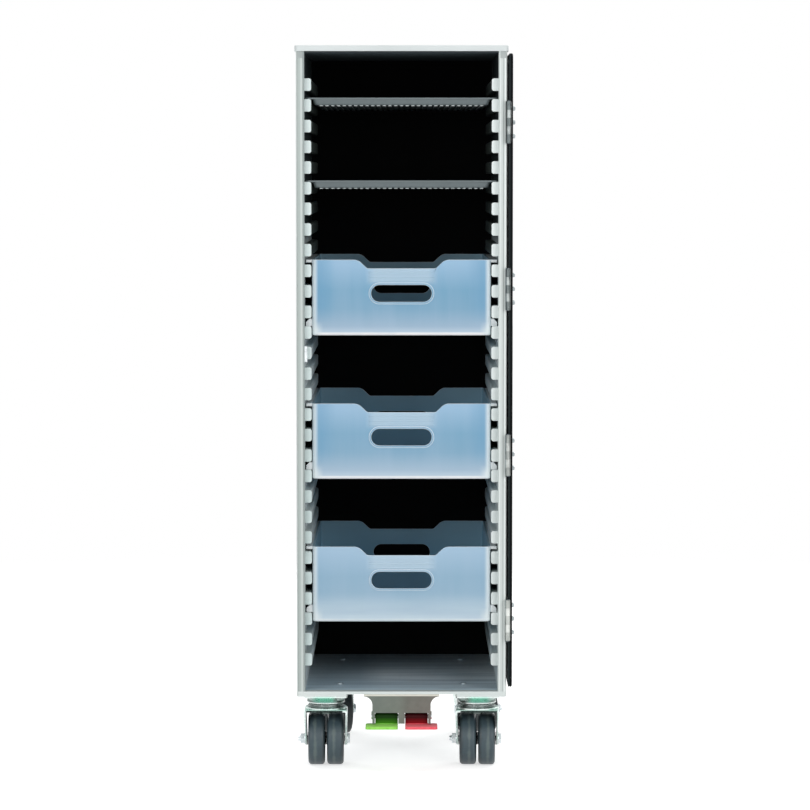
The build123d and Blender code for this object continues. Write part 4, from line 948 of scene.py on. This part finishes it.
def washer(name, place, along):
    """A pressed washer: a flat ring with rolled edges."""
    bpy.ops.object.select_all(action="DESELECT")
    bpy.ops.mesh.primitive_cylinder_add(
        vertices=WASHER_SIDES, radius=WASHER_R, depth=WASHER_THICKNESS, enter_editmode=True
    )
    piece = bpy.context.object
    piece.name = name
    bpy.ops.mesh.select_mode(type="FACE")
    bpy.ops.mesh.select_all(action="DESELECT")
    bpy.ops.object.mode_set(mode="OBJECT")
    for face in piece.data.polygons:
        face.select = len(face.vertices) > 4
    bpy.ops.object.mode_set(mode="EDIT")
    bpy.ops.mesh.inset(thickness=WASHER_R - WASHER_HOLE_R, use_individual=True)
    bpy.ops.mesh.bridge_edge_loops()
    bpy.ops.mesh.select_all(action="SELECT")
    bpy.ops.mesh.normals_make_consistent(inside=False)
    bpy.ops.object.mode_set(mode="OBJECT")
    rolled = round_edges(piece, "rolled_edge", WASHER_ROLL, FITTING_ANGLE)
    bpy.ops.object.modifier_apply(modifier=rolled.name)
    bpy.ops.object.shade_smooth_by_angle(angle=FITTING_ANGLE)
    stand_on(piece, place, along)
    return piece


def thread(name, place, along):
    """The bolt's thread past its nut: a triangular ridge, wound at the thread's pitch."""
    bpy.ops.object.select_all(action="DESELECT")
    bpy.ops.mesh.primitive_circle_add(
        vertices=3, radius=THREAD_RIDGE_R, location=(THREAD_R, 0, 0), rotation=(math.pi / 2, 0, 0)
    )
    piece = bpy.context.object
    piece.name = name
    bpy.ops.object.transform_apply(location=True, rotation=True, scale=True)
    wound = piece.modifiers.new("wound", "SCREW")
    wound.screw_offset = THREAD_PITCH
    wound.iterations = THREAD_TURNS
    wound.steps = THREAD_STEPS
    wound.render_steps = THREAD_STEPS
    bpy.ops.object.modifier_apply(modifier=wound.name)
    bpy.ops.object.mode_set(mode="EDIT")
    bpy.ops.mesh.select_all(action="DESELECT")
    bpy.ops.mesh.select_mode(type="EDGE")
    bpy.ops.mesh.select_non_manifold()
    bpy.ops.mesh.fill_holes(sides=4)
    bpy.ops.mesh.select_all(action="SELECT")
    bpy.ops.mesh.remove_doubles(threshold=SAME_THREAD_POINT)
    bpy.ops.mesh.normals_make_consistent(inside=False)
    bpy.ops.object.mode_set(mode="OBJECT")
    bpy.ops.object.shade_smooth_by_angle(angle=FITTING_ANGLE)
    stand_on(piece, place, along)
    return piece


def fit_axles(by_node):
    """Washers under each axle bolt's head and nut, and the turns of thread that show past the nut."""
    for corner, (middle, along) in axle_lines().items():
        toward_nut = along * NUT_SIDES[corner]
        fittings = []
        for end, side in (("low_x", -1), ("high_x", 1)):
            outward = along * side
            seat = middle + outward * (LEG_FACE + WASHER_THICKNESS / 2)
            fittings.append(washer(f"washer_{corner}_{end}", seat, outward))
        fittings.append(thread(f"thread_{corner}", middle + toward_nut * THREAD_START, toward_nut))
        for piece in fittings:
            piece.data.materials.append(by_node[f"axle_{corner}"])
            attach(piece, f"fork_{corner}")


def make_floor():
    """A pale round floor that keeps the trolley's shadow and fades into the white behind it."""
    bpy.ops.object.select_all(action="DESELECT")
    bpy.ops.mesh.primitive_circle_add(vertices=STUDIO_SIDES, radius=STUDIO_RADIUS, fill_type="NGON")
    floor = bpy.context.object
    floor.name = "studio_floor"
    material = bpy.data.materials.new("pale_studio_floor")
    material.use_nodes = True
    tree = material.node_tree
    tree.nodes.clear()
    place = add(tree, "ShaderNodeTexCoord").outputs["Object"]
    reach = add(tree, "ShaderNodeVectorMath", {0: place}, operation="LENGTH").outputs["Value"]
    fade = span(tree, reach, STUDIO_RADIUS - STUDIO_FADE, STUDIO_RADIUS)
    grain = shades(tree, patches(tree, place, 30 * MM), ((0.3, "#e3e4e4"), (0.7, "#e8e9e9")))
    matt = add(tree, "ShaderNodeBsdfDiffuse", {"Color": grain}).outputs[0]
    path = add(tree, "ShaderNodeLightPath").outputs
    seen = sums(tree, "MAXIMUM", path["Is Camera Ray"], path["Is Glossy Ray"])
    seen = sums(tree, "MAXIMUM", seen, path["Is Transmission Ray"])
    shine = span(tree, seen, 0, 1, 0, STUDIO_GLOW)
    glow = add(tree, "ShaderNodeEmission", {"Color": linear("#ffffff"), "Strength": shine}).outputs[0]
    lit = add(tree, "ShaderNodeAddShader", {0: matt, 1: glow}).outputs[0]
    clear = add(tree, "ShaderNodeBsdfTransparent").outputs[0]
    both = add(tree, "ShaderNodeMixShader", {0: fade, 1: lit, 2: clear}).outputs[0]
    add(tree, "ShaderNodeOutputMaterial", {"Surface": both})
    floor.data.materials.append(material)


def make_world():
    """Even light from all round, and white wherever the eye, a gloss or a clear piece looks past it."""
    world = bpy.data.worlds.new("studio_white")
    bpy.context.scene.world = world
    world.use_nodes = True
    tree = world.node_tree
    tree.nodes.clear()
    path = add(tree, "ShaderNodeLightPath").outputs
    seen = sums(tree, "MAXIMUM", path["Is Camera Ray"], path["Is Transmission Ray"])
    shine = span(tree, path["Is Glossy Ray"], 0, 1, AMBIENT, BACKDROP_SHINE)
    strength = sums(tree, "MAXIMUM", shine, span(tree, seen, 0, 1, 0, BACKDROP_WHITE))
    sky = add(tree, "ShaderNodeBackground", {"Color": linear("#ffffff"), "Strength": strength})
    add(tree, "ShaderNodeOutputWorld", {"Surface": sky.outputs[0]})


def add_softbox(name, place, aim, side, watts):
    """A square softbox that faces a point."""
    lamp = bpy.data.lights.new(name, "AREA")
    lamp.shape = "SQUARE"
    lamp.size = side
    lamp.energy = watts
    box = bpy.data.objects.new(name, lamp)
    bpy.context.scene.collection.objects.link(box)
    box.location = place
    box.rotation_euler = (Vector(aim) - Vector(place)).to_track_quat("-Z", "Y").to_euler()


def make_lamps():
    """Softboxes to the left and right of the open front, two behind and one overhead."""
    middle = Vector((0, 0, LAMPS_AIM_HEIGHT))
    for name, bearing, height, away, side, watts in SOFTBOXES:
        turn = math.radians(bearing)
        place = (math.sin(turn) * away, -math.cos(turn) * away, height)
        add_softbox(name, place, middle, side, watts)
    add_softbox("top_softbox", (0, FRONT_Y, TOP_BOX_HEIGHT), middle, TOP_BOX_SIDE, TOP_BOX_WATTS)


def make_camera():
    """The photograph's view: from the door side, a little above the middle."""
    data = bpy.data.cameras.new("photo_view")
    data.lens = LENS
    data.sensor_width = SENSOR
    camera = bpy.data.objects.new("photo_view", data)
    bpy.context.scene.collection.objects.link(camera)
    eye = Vector((EYE_SIDE, FRONT_Y - EYE_DISTANCE, EYE_HEIGHT))
    aim = Vector((EYE_SIDE, FRONT_Y, AIM_HEIGHT))
    camera.location = eye
    camera.rotation_euler = (aim - eye).to_track_quat("-Z", "Y").to_euler()
    bpy.context.scene.camera = camera


bpy.context.scene.view_settings.view_transform = "Standard"
by_node = finishes()
dress_nodes(by_node)
ease_pieces(by_node)
fit_axles(by_node)
make_floor()
make_world()
make_lamps()
make_camera()
